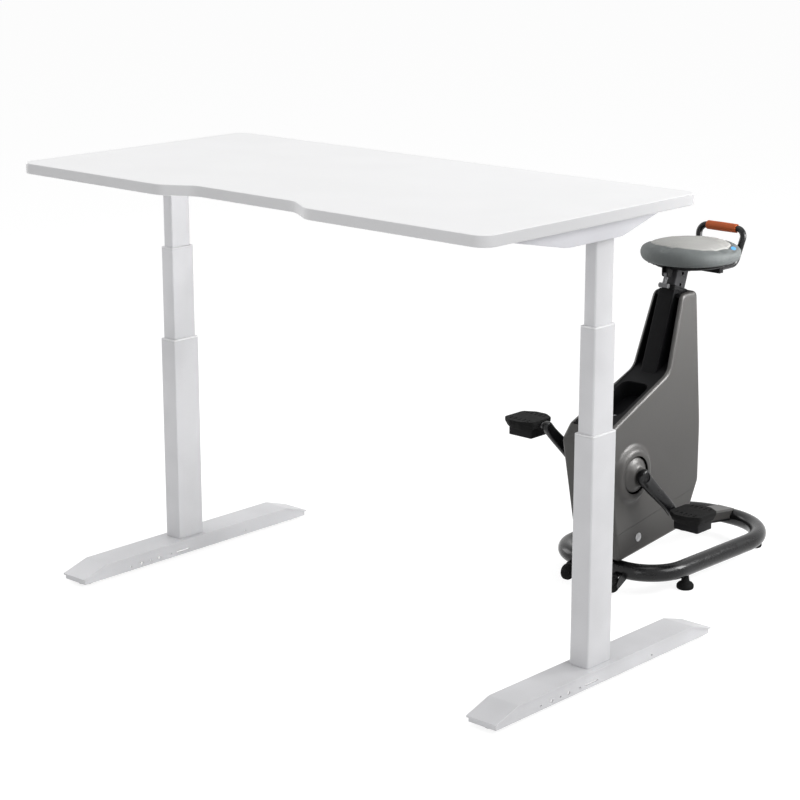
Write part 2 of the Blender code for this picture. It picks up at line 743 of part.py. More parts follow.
def make_control_box(home):
    """Flat control box under the board, with three sockets in its rear face."""
    width, depth, height = CONTROL_SIZE
    top = BOARD_UNDER - GAP
    case = piece("control_box", box((width, depth, height), (0, CONTROL_BACK, top - height / 2), 0.005),
                 "black_plastic", home)
    socket_width, socket_deep, socket_height = SOCKET_SIZE
    rear = CONTROL_BACK + depth / 2
    mouths = [box((socket_width, 2 * socket_deep, socket_height), (x, rear, top - height / 2))
              for x in (-width * 0.3, 0, width * 0.3)]
    cut(case, together(*mouths))


def handset_face():
    return HANDSET_BACK - BOARD_DEPTH / 2


def switch_place():
    return Vector((HANDSET_X, handset_face() + SWITCH_DEPTH / 2, BOARD_UNDER - GAP - HANDSET_SIZE[2] / 2))


def make_handset(home):
    """Handset set back under the front edge, with a pocket for its rocker switch."""
    width, depth, height = HANDSET_SIZE
    top = BOARD_UNDER - GAP
    face = handset_face()
    centre = (HANDSET_X, face + depth / 2, top - height / 2)
    case = piece("handset", box((width, depth, height), centre, 0.003), "black_plastic", home)
    swing = SWITCH_DEPTH * math.sin(SWITCH_SWING)
    pocket = (SWITCH_SIZE[0] + 2 * GAP, 2 * (SWITCH_DEPTH + swing), SWITCH_SIZE[1] + 2 * swing)
    cut(case, box(pocket, (HANDSET_X, face, top - height / 2)))


def make_switch(home):
    """Rocker switch whose upper and lower edges stand proud of the hollow between them."""
    place = empty("lift_switch_axis", switch_place(), home)
    width, height = SWITCH_SIZE
    front = -SWITCH_DEPTH / 2 - SWITCH_PROUD
    rear = SWITCH_DEPTH / 2
    profile = outline([
        (front, -height / 2, 0.0015), (rear - 0.003, -height / 2, 0), (rear, 0, 0.003),
        (rear - 0.003, height / 2, 0), (front, height / 2, 0.0015), (front + 0.0015, 0, 0.020)], 3)
    piece("lift_switch", prism(profile, SIDE, -width / 2, width / 2), "knob_grey", place)


def make_desk(desk):
    middle = empty("lift_lower_axis", (0, 0, 0), desk)
    upper = empty("lift_upper_axis", (0, 0, 0), middle)
    make_board(upper)
    make_crossbeam(upper)
    for side, word in SIDES:
        make_bracket(side, word, upper)
        make_gearbox(side, word, upper)
        make_motor(side, word, upper)
        make_columns(side, word, desk, middle, upper)
        make_foot(side, word, desk)
        make_glides(side, word, desk)
    make_control_box(upper)
    make_handset(upper)
    make_switch(upper)


# Bike base


def beam_line():
    """Top line of the beam: level under the mast, up to its crest, and down into the ring's rear."""
    return [(BEAM_LEVEL[0], BEAM_TOP), (BEAM_LEVEL[1], BEAM_TOP), BEAM_CREST, (RING_REAR, BEAM_TAIL)]


def beam_section(y, top):
    """The beam's channel section at one place along it, open below."""
    half = BEAM_WIDTH / 2
    inside = half - BEAM_WALL
    low = top - BEAM_DEPTH
    section = outline([
        (-half, low, 0), (-inside, low, 0), (-inside, top - BEAM_WALL, 0), (inside, top - BEAM_WALL, 0),
        (inside, low, 0), (half, low, 0), (half, top, BEAM_ROUND), (-half, top, BEAM_ROUND)], 2)
    return [Vector((u, y, v)) for u, v in section]


def beam_slot():
    """Room for the beam where it passes through the lower cover's floor."""
    front = BEAM_LEVEL[0] - PANEL_GAP
    floor = BEAM_TOP - 2 * BEAM_DEPTH
    line = [(y, top + PANEL_GAP) for y, top in beam_line()]
    points = [(front, floor), (RING_REAR, floor), *reversed(line[1:]), (front, line[0][1])]
    half = BEAM_WIDTH / 2 + PANEL_GAP
    return prism([Vector(point) for point in points], SIDE, -half, half)


def make_base(home):
    """Welded base: a rounded ring of tube, a lengthwise channel beam, and a fork for each wheel."""
    path = outline([
        (-RING_HALF_FRONT, RING_FRONT, RING_ROUND_FRONT), (RING_HALF_FRONT, RING_FRONT, RING_ROUND_FRONT),
        (RING_HALF_REAR, RING_REAR, RING_ROUND_REAR), (-RING_HALF_REAR, RING_REAR, RING_ROUND_REAR)], 8)
    ring = tube_loop([Vector((u, v, RING_HEIGHT)) for u, v in path], RING_TUBE, 16)
    base = piece("base_frame", ring, "black_steel", home)
    fuse(base, loft([beam_section(y, top) for y, top in beam_line()]))
    for side, _ in SIDES:
        for part in wheel_fork(side):
            boolean(base, part, "UNION", "MANIFOLD")


def make_beam_cover(home):
    """Cap over the beam's falling rear part, cut to butt against the ring."""
    half = BEAM_WIDTH / 2 + GAP
    out = half + BEAM_COVER_WALL
    top = GAP + BEAM_COVER_WALL
    skirt = -BEAM_DEPTH * 0.75
    profile = outline([
        (out, skirt, 0), (out, top, 0.005), (-out, top, 0.005), (-out, skirt, 0), (-half, skirt, 0),
        (-half, GAP, 0.002), (half, GAP, 0.002), (half, skirt, 0)], 3)
    fall = math.atan2(BEAM_CREST[1] - BEAM_TAIL, RING_REAR - BEAM_CREST[0])
    frame = upright(0, RING_REAR, BEAM_TAIL) @ Matrix.Rotation(-fall, 4, "X") @ FRONT
    length = (RING_REAR - BEAM_COVER_START) / math.cos(fall)
    cover = piece("beam_cover", prism(profile, frame, 0, length), "graphite_shell", home)
    cut(cover, rod(RING_TUBE + 3 * PANEL_GAP, -out * 2, out * 2, across(RING_REAR, RING_HEIGHT), 24))


def make_pads(side, word, home):
    """Levelling pads under one side of the ring."""
    top = RING_HEIGHT - RING_TUBE - GAP
    profile = [
        (0, 0), (PAD_RADIUS * 0.9, 0), (PAD_RADIUS, 0.003), (PAD_RADIUS, 0.010), (PAD_RADIUS * 0.82, 0.015),
        (PAD_RADIUS * 0.5, 0.018), (PAD_RADIUS * 0.42, top), (0, top)]
    for place, (x, y) in (("front", PAD_FRONT), ("rear", (PAD_REAR_SPREAD, ring_rear(PAD_REAR_SPREAD)))):
        mesh = turned(profile, upright(side * x, y), 14)
        piece("levelling_pad_" + word + "_" + place, mesh, "black_rubber", home)


def ring_line(x):
    """Y of the ring's centre line at its front, at a distance from the middle."""
    along = max(0, x - (RING_HALF_FRONT - RING_ROUND_FRONT))
    return RING_FRONT + RING_ROUND_FRONT - math.sqrt(RING_ROUND_FRONT ** 2 - along ** 2)


def ring_rear(x):
    """Y of the ring's centre line in its rear corner, at a distance from the middle."""
    along = x - (RING_HALF_REAR - RING_ROUND_REAR)
    return RING_REAR - RING_ROUND_REAR + math.sqrt(RING_ROUND_REAR ** 2 - along ** 2)


def wheel_centre(side):
    """Centre of a transport wheel, ahead of the ring's front and off the floor."""
    height = WHEEL_RADIUS + WHEEL_LIFT
    apart = WHEEL_RADIUS + RING_TUBE + WHEEL_CLEAR
    ahead = math.sqrt(apart ** 2 - (RING_HEIGHT - height) ** 2)
    return Vector((side * WHEEL_SPREAD, ring_line(WHEEL_SPREAD - WHEEL_WIDTH / 2) - ahead, height))


def make_wheel(side, word, home):
    """Transport wheel, clear of the floor until the bike is tipped."""
    place = empty("wheel_" + word + "_axis", wheel_centre(side), home)
    half = WHEEL_WIDTH / 2
    profile = [
        (WHEEL_PIN + RUNNING, -half), (WHEEL_RADIUS * 0.45, -half), (WHEEL_RADIUS * 0.6, -half * 0.7),
        (WHEEL_RADIUS * 0.85, -half), (WHEEL_RADIUS, -half * 0.5), (WHEEL_RADIUS, half * 0.5),
        (WHEEL_RADIUS * 0.85, half), (WHEEL_RADIUS * 0.6, half * 0.7), (WHEEL_RADIUS * 0.45, half),
        (WHEEL_PIN + RUNNING, half)]
    piece("wheel_" + word, turned(profile, across(0, 0), 16, ring=True), "black_rubber", place)


def wheel_fork(side):
    """Two cheeks rooted in the ring's front, and the wheel's pin between them."""
    centre = wheel_centre(side)
    inner = WHEEL_WIDTH / 2 + FORK_CLEAR
    pin = inner + FORK_THICK / 3
    parts = [rod(WHEEL_PIN, centre.x - pin, centre.x + pin, across(centre.y, centre.z), 12)]
    for low, high in ((-inner - FORK_THICK, -inner), (inner, inner + FORK_THICK)):
        root = ring_line(WHEEL_SPREAD + side * (low + high) / 2)
        cheek = outline([
            (centre.y - 0.009, centre.z - 0.009, 0.008), (centre.y + 0.009, centre.z - 0.009, 0.008),
            (root, RING_HEIGHT - 0.010, 0), (root, RING_HEIGHT + 0.008, 0),
            (centre.y + 0.010, RING_HEIGHT - 0.006, 0.010)], 3)
        parts.append(prism(cheek, SIDE, centre.x + low, centre.x + high))
    return parts


# Bike body


def body_corners():
    """Side outline of the body, anticlockwise, seen from +X with Y to the right."""
    return [
        (CHIN[0], CHIN[1], 0.012), (KEEL[0], KEEL[1], 0.025), (BODY_REAR, TAIL_HEIGHT, 0.040),
        (BODY_REAR, BODY_TOP, 0.014), (BROW_Y, BODY_TOP, 0.020), (BEND_Y, BEND_HEIGHT, 0.035),
        (DECK_FRONT[0], DECK_FRONT[1], 0.020), (NOSE[0], NOSE[1], 0.020)]


def taper_normal(side):
    slope = (BODY_HALF - BODY_HALF_TOP) / (BODY_TOP - BODY_TAPER_FROM)
    return Vector((side, 0, slope))


def taper(mesh, inset):
    """Narrows the body towards the seat; the inset moves both planes inwards."""
    for side in (-1, 1):
        start = Vector((side * (BODY_HALF - inset), 0, BODY_TAPER_FROM))
        trim(mesh, start, taper_normal(side))
    return mesh


def body_block(inset):
    """The whole body as one solid, its side edges rounded, or its inner space at a wall's inset."""
    corners = shrunk(body_corners(), inset) if inset else body_corners()
    half = BODY_HALF - inset
    mesh = taper(prism(outline(corners, 3), SIDE, -half, half), inset)
    bmesh.ops.dissolve_limit(mesh, angle_limit=0.001, verts=mesh.verts, edges=mesh.edges)
    sides = [edge for edge in mesh.edges if edge.calc_face_angle(0) > math.radians(50)]
    if not inset:
        bmesh.ops.bevel(mesh, geom=sides, offset=BODY_ROUND, segments=2, profile=0.5, affect="EDGES",
                        clamp_overlap=True)
    return mesh


def bulge(side, inset):
    """Round swelling of the side wall about the crank, rising in a soft curve to its flat crown."""
    base = BODY_HALF - inset
    wide = BULGE_RADIUS - inset
    crown = BULGE_TOP_RADIUS - inset / 2
    profile = [(0, base - 0.012), (wide, base - 0.012)]
    for share in (0, 0.25, 0.5, 0.75, 1):
        rise = BULGE_HEIGHT * (1 - math.cos(math.pi * share)) / 2
        profile.append((wide + (crown - wide) * share, base + rise))
    profile.append((0, base + BULGE_HEIGHT))
    return turned(profile, across(0, HUB_HEIGHT, side), 28)


def seam_height(y):
    return SEAM_FRONT + SEAM_RISE * (y - NOSE[0])


def seam_normal():
    return Vector((0, -SEAM_RISE, 1)).normalized()


def front_opening():
    """What the side shells leave open for the front panel, from the top down to the nose."""
    corners = body_corners()
    inner = shrunk(corners, BODY_WALL + 0.010)
    outer = shrunk(corners, -0.030)
    rear = MAST_TOP_Y + COLLAR_SIZE[1] / 2 / math.cos(SEAT_LEAN) + 0.001
    points = [
        (rear, BODY_TOP + 0.030), (outer[4][0] - 0.02, BODY_TOP + 0.030), outer[5][:2], outer[6][:2],
        (inner[6][0] - 0.004, inner[6][1] + 0.001), inner[5][:2], (inner[4][0], BODY_TOP - 0.013),
        (rear, BODY_TOP - 0.013)]
    mesh = prism([Vector(point) for point in points], SIDE, -BODY_HALF + RIM_WIDTH, BODY_HALF - RIM_WIDTH)
    return taper(mesh, RIM_WIDTH)


def make_shell(side, word, home):
    """One side shell: outer wall, its half of the rear, top and nose, with the bulge and the hub hole."""
    block = body_block(0)
    trim(block, (side * PANEL_GAP / 2, 0, 0), (-side, 0, 0))
    trim(block, Vector((0, 0, seam_height(0) + PANEL_GAP)), -seam_normal())
    shell = piece("shell_" + word, block, "graphite_shell", home, 35)
    fuse(shell, bulge(side, 0))
    cut(shell, body_block(BODY_WALL))
    cut(shell, bulge(side, BODY_WALL))
    cut(shell, rod(HUB_HOLE, BODY_HALF - 0.02, BODY_HALF + 0.03, across(0, HUB_HEIGHT, side), 28))
    cut(shell, front_opening())


def make_lower_cover(home):
    """Tray below the seam; the beam rises through a slot in its floor and its rear wall."""
    block = trim(body_block(0), Vector((0, 0, seam_height(0))), seam_normal())
    cover = piece("lower_cover", block, "graphite_shell", home, 35)
    cut(cover, body_block(BODY_WALL))
    cut(cover, beam_slot())


def mast_axis(z):
    """Y of the mast's axis at a height."""
    return MAST_TOP_Y - (BODY_TOP - z) * math.tan(SEAT_LEAN)


def make_main_frame(home):
    """Welded frame: the leaning mast, the gusset with the crank's bearing shell, the flywheel's arm."""
    low = -(BODY_TOP - BEAM_TOP) / math.cos(SEAT_LEAN) - 0.03
    outer = rectangle(MAST_SIZE[0], MAST_SIZE[1], 0.005, steps=3)
    inner = rectangle(MAST_SIZE[0] - 2 * MAST_WALL, MAST_SIZE[1] - 2 * MAST_WALL, 0.003, steps=3)
    frame = piece("main_frame", sleeve(outer, inner, SEAT_FRAME, low, -GAP), "black_steel", home)
    floor = BEAM_TOP + GAP
    cut(frame, box((0.2, 0.3, 0.1), (0, mast_axis(floor), floor - 0.05)))
    pivot = magnet_pivot()
    fuse(frame, rod(MAGNET_PIN, MAST_SIZE[0] / 2 - MAST_WALL / 2, -FLYWHEEL_FROM, across(*pivot, -1), 12))
    half = GUSSET_THICK / 2
    reach = (MAST_SIZE[1] - MAST_WALL) / 2 / math.cos(SEAT_LEAN)
    high = HUB_HEIGHT + 0.075
    toe = -SHELL_OUTER * 0.9
    front = outline([
        (toe, floor, 0), (mast_axis(floor) - reach, floor, 0), (mast_axis(high) - reach, high, 0),
        (SHELL_OUTER * 0.8, HUB_HEIGHT + SHELL_OUTER * 0.7, 0.010), (toe, HUB_HEIGHT, 0)], 3)
    fuse(frame, prism(front, SIDE, -half, half))
    fuse(frame, rod(SHELL_OUTER, -SHELL_HALF, SHELL_HALF, across(0, HUB_HEIGHT), 24))
    y, z = FLYWHEEL_CENTRE
    low, high = z - 0.045, z + 0.045
    arm = [(mast_axis(low) + reach, low), (y, z - FLYWHEEL_BOSS), (y, z + FLYWHEEL_BOSS),
           (mast_axis(high) + reach, high)]
    fuse(frame, prism([Vector(point) for point in arm], SIDE, -half, half))
    fuse(frame, rod(FLYWHEEL_BOSS, -0.018, 0.018, across(y, z), 20))
    bore = rod(SHELL_BORE, -SHELL_HALF - 0.01, SHELL_HALF + 0.01, across(0, HUB_HEIGHT), 24)
    small = rod(FLYWHEEL_SHAFT + RUNNING, -0.03, 0.03, across(y, z), 20)
    cut(frame, together(bore, small))


def deck_frame():
    """Frame on the deck: X across, the second axis down the deck towards the nose, the third inwards."""
    along = Vector((0, DECK_FRONT[0] - BEND_Y, DECK_FRONT[1] - BEND_HEIGHT)).normalized()
    across_deck = Vector((1, 0, 0))
    inward = across_deck.cross(along)
    rows = [(across_deck[i], along[i], inward[i], (0, BEND_Y, BEND_HEIGHT)[i]) for i in range(3)]
    return Matrix((*rows, (0, 0, 0, 1)))


def well_outline(grow):
    """Mouth of the storage well on the deck, with round corners."""
    centre = (0, WELL_START + WELL_LENGTH / 2)
    return rectangle(2 * (WELL_HALF + grow), WELL_LENGTH + 2 * grow, WELL_ROUND + grow, centre, 4)


def channel():
    """Recess of the front panel above the bend, closed at both ends, in which the rib stands."""
    top = -0.018
    bottom = -(BODY_TOP - BEND_HEIGHT) / math.cos(SEAT_LEAN) - 0.010
    ahead = RIM_AHEAD + 0.030
    floor = RIM_AHEAD - GROOVE_DEPTH
    profile = outline([
        (floor, bottom + 0.034, 0.010), (ahead, bottom - 0.022, 0), (ahead, top, 0), (floor, top, 0.008)], 3)
    frame = SEAT_FRAME @ Matrix(((0, 0, 1, 0), (1, 0, 0, 0), (0, 1, 0, 0), (0, 0, 0, 1)))
    inset = RIM_WIDTH + PANEL_GAP + GROOVE_WALL
    return taper(prism(profile, frame, inset - BODY_HALF, BODY_HALF - inset), inset)


def make_front_panel(home):
    """Moulded front panel: deck with the storage well, and the channel with a rib over the mast."""
    corners = body_corners()
    top_line = shrunk(corners, PANEL_SINK)
    under = shrunk(corners, PANEL_SINK + PANEL_THICK)
    half = BODY_HALF - RIM_WIDTH - PANEL_GAP
    back = RIM_AHEAD - GROOVE_DEPTH - PANEL_THICK
    seat_back = MAST_TOP_Y - back / math.cos(SEAT_LEAN)
    lean = math.tan(SEAT_LEAN)
    top = BODY_TOP - PANEL_SINK
    foot = BEND_HEIGHT - 0.030
    deck = outline([
        (top_line[6][0] + 0.003, top_line[6][1], 0), (under[6][0] + 0.003, under[6][1], 0),
        (under[5][0], under[5][1], 0), (seat_back - (BODY_TOP - foot) * lean, foot, 0),
        (seat_back - (BODY_TOP - top) * lean, top, 0), (top_line[4][0], top, 0),
        (top_line[5][0], top_line[5][1], 0.037)], 4)
    mesh = taper(prism(deck, SIDE, -half, half), RIM_WIDTH + PANEL_GAP)
    panel = piece("front_panel", mesh, "panel_plastic", home, 35)
    rib_half = MAST_SIZE[0] / 2 + GAP + RIB_WALL
    rib_ahead = RIM_AHEAD + RIB_AHEAD
    rib_low = -(BODY_TOP - BEND_HEIGHT) / math.cos(SEAT_LEAN) - RIB_BELOW
    rib = prism(rectangle(2 * rib_half, rib_ahead - back, 0.004, (0, (rib_ahead + back) / 2), 2), SEAT_FRAME,
                rib_low, 0.004)
    cut(panel, channel())
    fuse(panel, rib)
    recess = rectangle(COLLAR_SIZE[0] + 2 * COLLAR_RECESS, COLLAR_SIZE[1] + 2 * COLLAR_RECESS)
    cut(panel, prism(recess, SEAT_FRAME, -PANEL_SINK, 0.030))
    deck_place = deck_frame()
    fuse(panel, prism(well_outline(PANEL_THICK), deck_place, PANEL_SINK + 0.001, WELL_DEPTH + PANEL_THICK))
    cut(panel, prism(well_outline(0), deck_place, -0.010, WELL_DEPTH))
    clear = MAST_SIZE[0] / 2 + GAP
    depth = MAST_SIZE[1] / 2 + GAP
    behind = -0.060
    cavity = [(-clear, behind), (clear, behind), (clear, depth), (-clear, depth)]
    cut(panel, prism([Vector(point) for point in cavity], SEAT_FRAME, -0.40, 0.02))
    stem = rod(KNOB_STEM + RUNNING, 0, WELL_DEPTH + 0.01, deck_place @ upright(0, knob_place()), 12)
    cut(panel, stem)


def knob_place():
    return WELL_START + WELL_LENGTH - KNOB_RADIUS - 0.006


def make_knob(home):
    """Tension knob that stands on the floor of the well, turned about its stem."""
    frame = deck_frame() @ upright(0, knob_place())
    location = frame @ Vector((0, 0, WELL_DEPTH))
    place = empty("tension_knob_axis", location, home)
    turn = frame.to_3x3().to_4x4()
    low = -GAP
    high = -KNOB_HEIGHT
    below = PANEL_THICK + 0.012
    profile = [
        (0, high), (KNOB_RADIUS * 0.8, high), (KNOB_RADIUS * 0.95, high + 0.002),
        (KNOB_RADIUS, high + 0.005), (KNOB_RADIUS, low), (KNOB_STEM, low), (KNOB_STEM, below), (0, below)]
    knob = piece("tension_knob", turned(profile, turn, 16), "knob_grey", place)
    notches = []
    for step in range(8):
        angle = 2 * math.pi * step / 8
        spot = upright(math.cos(angle) * (KNOB_RADIUS + 0.002), math.sin(angle) * (KNOB_RADIUS + 0.002))
        notches.append(rod(0.004, high - 0.01, low + 0.01, turn @ spot, 6))
    cut(knob, together(*notches))


# Drive


def magnet_pivot():
    return (mast_axis(MAGNET_PIVOT_HEIGHT), MAGNET_PIVOT_HEIGHT)


def make_drive(home, crank_home):
    """Bearing cartridge, crank axle with its pulley, belt, flywheel with its shaft, and the magnet arm."""
    waist = SHELL_BORE - 0.002
    ring = SHELL_HALF - BEARING_WIDTH
    fit = SHELL_BORE - GAP
    bore = AXLE_RADIUS + GAP
    cartridge = [
        (bore, -SHELL_HALF), (fit, -SHELL_HALF), (fit, -ring), (waist, -ring), (waist, ring), (fit, ring),
        (fit, SHELL_HALF), (bore, SHELL_HALF)]
    piece("crank_bearing", turned(cartridge, across(0, HUB_HEIGHT), 20, ring=True), "machined_steel", home)

    end = CRANK_FROM + CRANK_THICK - 0.003
    piece("crank_axle", rod(AXLE_RADIUS, -end, end, across(0, 0), 20), "machined_steel", crank_home)

    low = PULLEY_FROM
    high = PULLEY_FROM + PULLEY_WIDTH
    middle = (low + high) / 2
    rim = PULLEY_RADIUS
    hub = 0.018
    pulley = [
        (bore, low - 0.004), (hub, low - 0.004), (hub, middle - 0.002), (rim - 0.008, middle - 0.002),
        (rim - 0.008, low), (rim, low), (rim, high), (rim - 0.008, high), (rim - 0.008, middle + 0.002),
        (hub, middle + 0.002), (hub, high), (bore, high)]
    piece("drive_pulley", turned(pulley, across(0, 0), 28, ring=True), "black_plastic", crank_home)

    make_belt(home, low + 0.002, high - 0.002)

    place = empty("flywheel_axis", (0, *FLYWHEEL_CENTRE), home)
    start = FLYWHEEL_FROM
    stop = FLYWHEEL_FROM + FLYWHEEL_WIDTH
    web = (start + stop) / 2
    hub = 0.020
    edge = FLYWHEEL_RADIUS
    wheel = [
        (0, start), (hub, start), (hub, web - 0.003), (edge - 0.018, web - 0.003), (edge - 0.014, start),
        (edge, start), (edge, stop), (edge - 0.014, stop), (edge - 0.018, web + 0.003), (hub, web + 0.003),
        (hub, stop), (FLYWHEEL_SHAFT, stop), (FLYWHEEL_SHAFT, low),
        (SMALL_PULLEY_RADIUS, low), (SMALL_PULLEY_RADIUS, high), (FLYWHEEL_SHAFT * 0.8, high),
        (FLYWHEEL_SHAFT * 0.8, high + 0.005), (0, high + 0.005)]
    piece("flywheel", turned(wheel, across(0, 0), 28), "cast_iron", place)
    make_magnet_arm(home)


def belt_loop(extra, count):
    """Loop round both pulleys at a distance, in the same number of points for every distance."""
    big = PULLEY_RADIUS + extra
    small = SMALL_PULLEY_RADIUS + extra
    run = Vector(FLYWHEEL_CENTRE) - Vector((0, HUB_HEIGHT))
    heading = math.atan2(run.y, run.x)
    lean = math.acos((big - small) / run.length)
    large = arc((0, HUB_HEIGHT), big, heading + lean, 2 * (math.pi - lean), count)
    little = arc(FLYWHEEL_CENTRE, small, heading - lean, 2 * lean, count // 2)
    return large + little


def make_belt(home, low, high):
    outer = belt_loop(GAP + BELT_THICK, 20)
    inner = belt_loop(GAP, 20)
    piece("drive_belt", sleeve(outer, inner, SIDE, low, high), "black_rubber", home)


def make_magnet_arm(home):
    """Curved shoe close to the flywheel's rim, on a link that swings about the pin on the mast."""
    pivot = magnet_pivot()
    place = empty("magnet_arm_axis", (0, *pivot), home)
    centre = Vector(FLYWHEEL_CENTRE) - Vector(pivot)
    near = FLYWHEEL_RADIUS + MAGNET_GAP
    start, end = (math.radians(angle) for angle in MAGNET_ARC)
    shoe = arc(centre, near, start, end - start, 10) + arc(centre, near + MAGNET_THICK, end, start - end, 10)
    low = FLYWHEEL_FROM + 0.002
    high = FLYWHEEL_FROM + FLYWHEEL_WIDTH - 0.002
    arm = piece("magnet_arm", prism(shoe, SIDE, low, high), "machined_steel", place)
    eye = 0.009
    fuse(arm, rod(eye, low, high, across(0, 0), 16))
    tip = arc(centre, near + MAGNET_THICK * 0.7, start + 0.10, 0, 1)[0]
    away = tip.normalized()
    wide = Vector((-away.y, away.x)) * 0.005
    link = [Vector((0, 0)) - wide, tip - wide, tip + wide, Vector((0, 0)) + wide]
    fuse(arm, prism(link, SIDE, low + 0.002, high - 0.002))
    cut(arm, rod(MAGNET_PIN + RUNNING, low - 0.01, high + 0.01, across(0, 0), 12))


# Cranks and pedals


def make_hub_cover(side, word, home):
    """Domed disc that turns with the crank inside the hub hole."""
    start = HUB_COVER_FROM
    top = start + HUB_COVER_DEPTH
    edge = BODY_HALF + BULGE_HEIGHT - 0.003
    profile = [
        (AXLE_RADIUS + GAP, start), (HUB_COVER_RADIUS, start), (HUB_COVER_RADIUS, edge - 0.002),
        (HUB_COVER_RADIUS - 0.002, edge), (HUB_COVER_RADIUS * 0.75, edge + 0.004),
        (HUB_COVER_RADIUS * 0.55, top - 0.001),
        (CRANK_BOSS, top), (AXLE_RADIUS + GAP, top)]
    piece("hub_cover_" + word, turned(profile, across(0, 0, side), 26, ring=True), "graphite_shell", home)


def make_crank(side, word, home):
    """Swept crank arm with rounded edges, its boss on the axle and the pedal spindle at its end."""
    angle = CRANK_ANGLE if side > 0 else CRANK_ANGLE + math.pi
    along = Vector((0, math.cos(angle), math.sin(angle)))
    up = Vector((0, -math.sin(angle), math.cos(angle)))
    out = Vector((side, 0, 0))
    loops = []
    rows = [
        (-0.115, 0.5), (-0.08, 0.86), (0.0, 1.0), (0.3, 0.94), (0.65, 0.9), (1.0, 0.88), (1.06, 0.74),
        (1.095, 0.4)]
    for share, swell in rows:
        half = CRANK_BOSS + (CRANK_END - CRANK_BOSS) * max(0.0, min(1.0, share))
        sweep = CRANK_SWEEP * (3 * share ** 2 - 2 * share ** 3 if 0 < share < 1 else float(share >= 1))
        centre = along * (CRANK_LENGTH * share) + out * (CRANK_FROM + CRANK_THICK / 2 + sweep)
        thick = CRANK_THICK * (0.86 if 0.1 < share < 0.9 else 1.0)
        section = rectangle(2 * half * swell, thick, 0.004, steps=2)
        loops.append([centre + up * u + out * v for u, v in section])
    crank = piece("crank_" + word, loft(loops), "black_plastic", home, 50)
    start = CRANK_FROM + CRANK_SWEEP + CRANK_THICK / 2
    end = CRANK_FROM + CRANK_SWEEP + CRANK_THICK + PEDAL_FROM + PEDAL_WIDTH * 0.8
    tip = along * CRANK_LENGTH
    fuse(crank, rod(SPINDLE_END, start, end, across(tip.y, tip.z, side), 14))
    bore = rod(AXLE_RADIUS + GAP, CRANK_FROM / 2, CRANK_FROM + 2 * CRANK_THICK, across(0, 0, side), 20)
    cut(crank, bore)


def make_pedal(side, word, home):
    """Boat-shaped tread with slots over a square weight, turning on the crank's spindle."""
    angle = CRANK_ANGLE if side > 0 else CRANK_ANGLE + math.pi
    place = empty("pedal_" + word + "_axis",
                  (0, math.cos(angle) * CRANK_LENGTH, math.sin(angle) * CRANK_LENGTH), home)
    start = CRANK_FROM + CRANK_SWEEP + CRANK_THICK + PEDAL_FROM
    middle = side * (start + PEDAL_WIDTH / 2)
    half, long = PEDAL_WIDTH / 2, PEDAL_LENGTH / 2
    shape = outline([
        (middle - half, -long + PEDAL_POINT, 0.012), (middle - half * 0.35, -long, 0.018),
        (middle + half * 0.35, -long, 0.018), (middle + half, -long + PEDAL_POINT, 0.012),
        (middle + half, long - PEDAL_POINT, 0.012), (middle + half * 0.35, long, 0.018),
        (middle - half * 0.35, long, 0.018), (middle - half, long - PEDAL_POINT, 0.012)], 2)
    under = [Vector((middle + (u - middle) * 0.84, v * 0.84)) for u, v in shape]
    low = PEDAL_TOP - PEDAL_THICK
    mesh = loft([lifted(under, low), lifted(shape, PEDAL_TOP - PEDAL_THICK * 0.4), lifted(shape, PEDAL_TOP)])
    pedal = piece("pedal_" + word, mesh, "black_rubber", place, 45)
    wide, deep, tall = PEDAL_WEIGHT
    fuse(pedal, box((wide, deep, tall + 0.004), (middle, 0, low - tall / 2 + 0.002), 0.002, 1))
    cut(pedal, rod(SPINDLE_END + RUNNING, start - 0.01, start + PEDAL_WIDTH * 0.84, across(0, 0, side), 14))
    slots = []
    pitch = PEDAL_WIDTH * 0.72 / PEDAL_SLOTS
    for step in range(PEDAL_SLOTS):
        x = middle + (step - (PEDAL_SLOTS - 1) / 2) * pitch
        for row in (-1, 1):
            slots.append(box((0.0040, 0.015, 0.010), (x, row * long * 0.60, PEDAL_TOP)))
    cut(pedal, together(*slots))


# Seat


def seat_rim(width, length, height, dip=0.0):
    """Seat outline: round behind, drawn in slightly at the front, its height dipping at the sides."""
    points = []
    steps = 28
    for step in range(steps):
        angle = 2 * math.pi * step / steps
        u = math.copysign(abs(math.cos(angle)) ** 0.92, math.cos(angle))
        v = math.copysign(abs(math.sin(angle)) ** 0.92, math.sin(angle))
        narrow = 1 - 0.07 * max(0.0, -v)
        points.append(Vector((u * width * narrow, SEAT_CENTRE + v * length, height - dip * u * u)))
    return points


def make_cushion(home):
    """Padded seat: flat below, sides bulging, a drawn-in seam, and a crown that dips across the middle."""
    low = SEAT_BOTTOM + PAN_CROWN
    rows = [
        (0.86, 0.00), (0.945, 0.06), (0.985, 0.17), (1.00, 0.34), (1.00, 0.50), (0.985, 0.68), (0.955, 0.79),
        (0.935, 0.80), (0.91, 0.86), (0.82, 0.925), (0.62, 0.965), (0.38, 0.975), (0.16, 0.965)]
    loops = []
    for share, rise in rows:
        dip = SEAT_DIP * max(0.0, min(1.0, (rise - 0.5) / 0.3)) * share
        height = low + SEAT_THICK * rise
        loops.append(seat_rim(SEAT_HALF_WIDTH * share, SEAT_HALF_LENGTH * share, height, dip))
    piece("seat_cushion", loft(loops), "seat_skin", home, 60)


def seat_prism(points, low, high, level):
    """Prism along the post's axis, cut off level with the floor at a height."""
    return trim(prism(points, SEAT_FRAME, low, high + 0.030), Vector((0, 0, level)), Vector((0, 0, 1)))


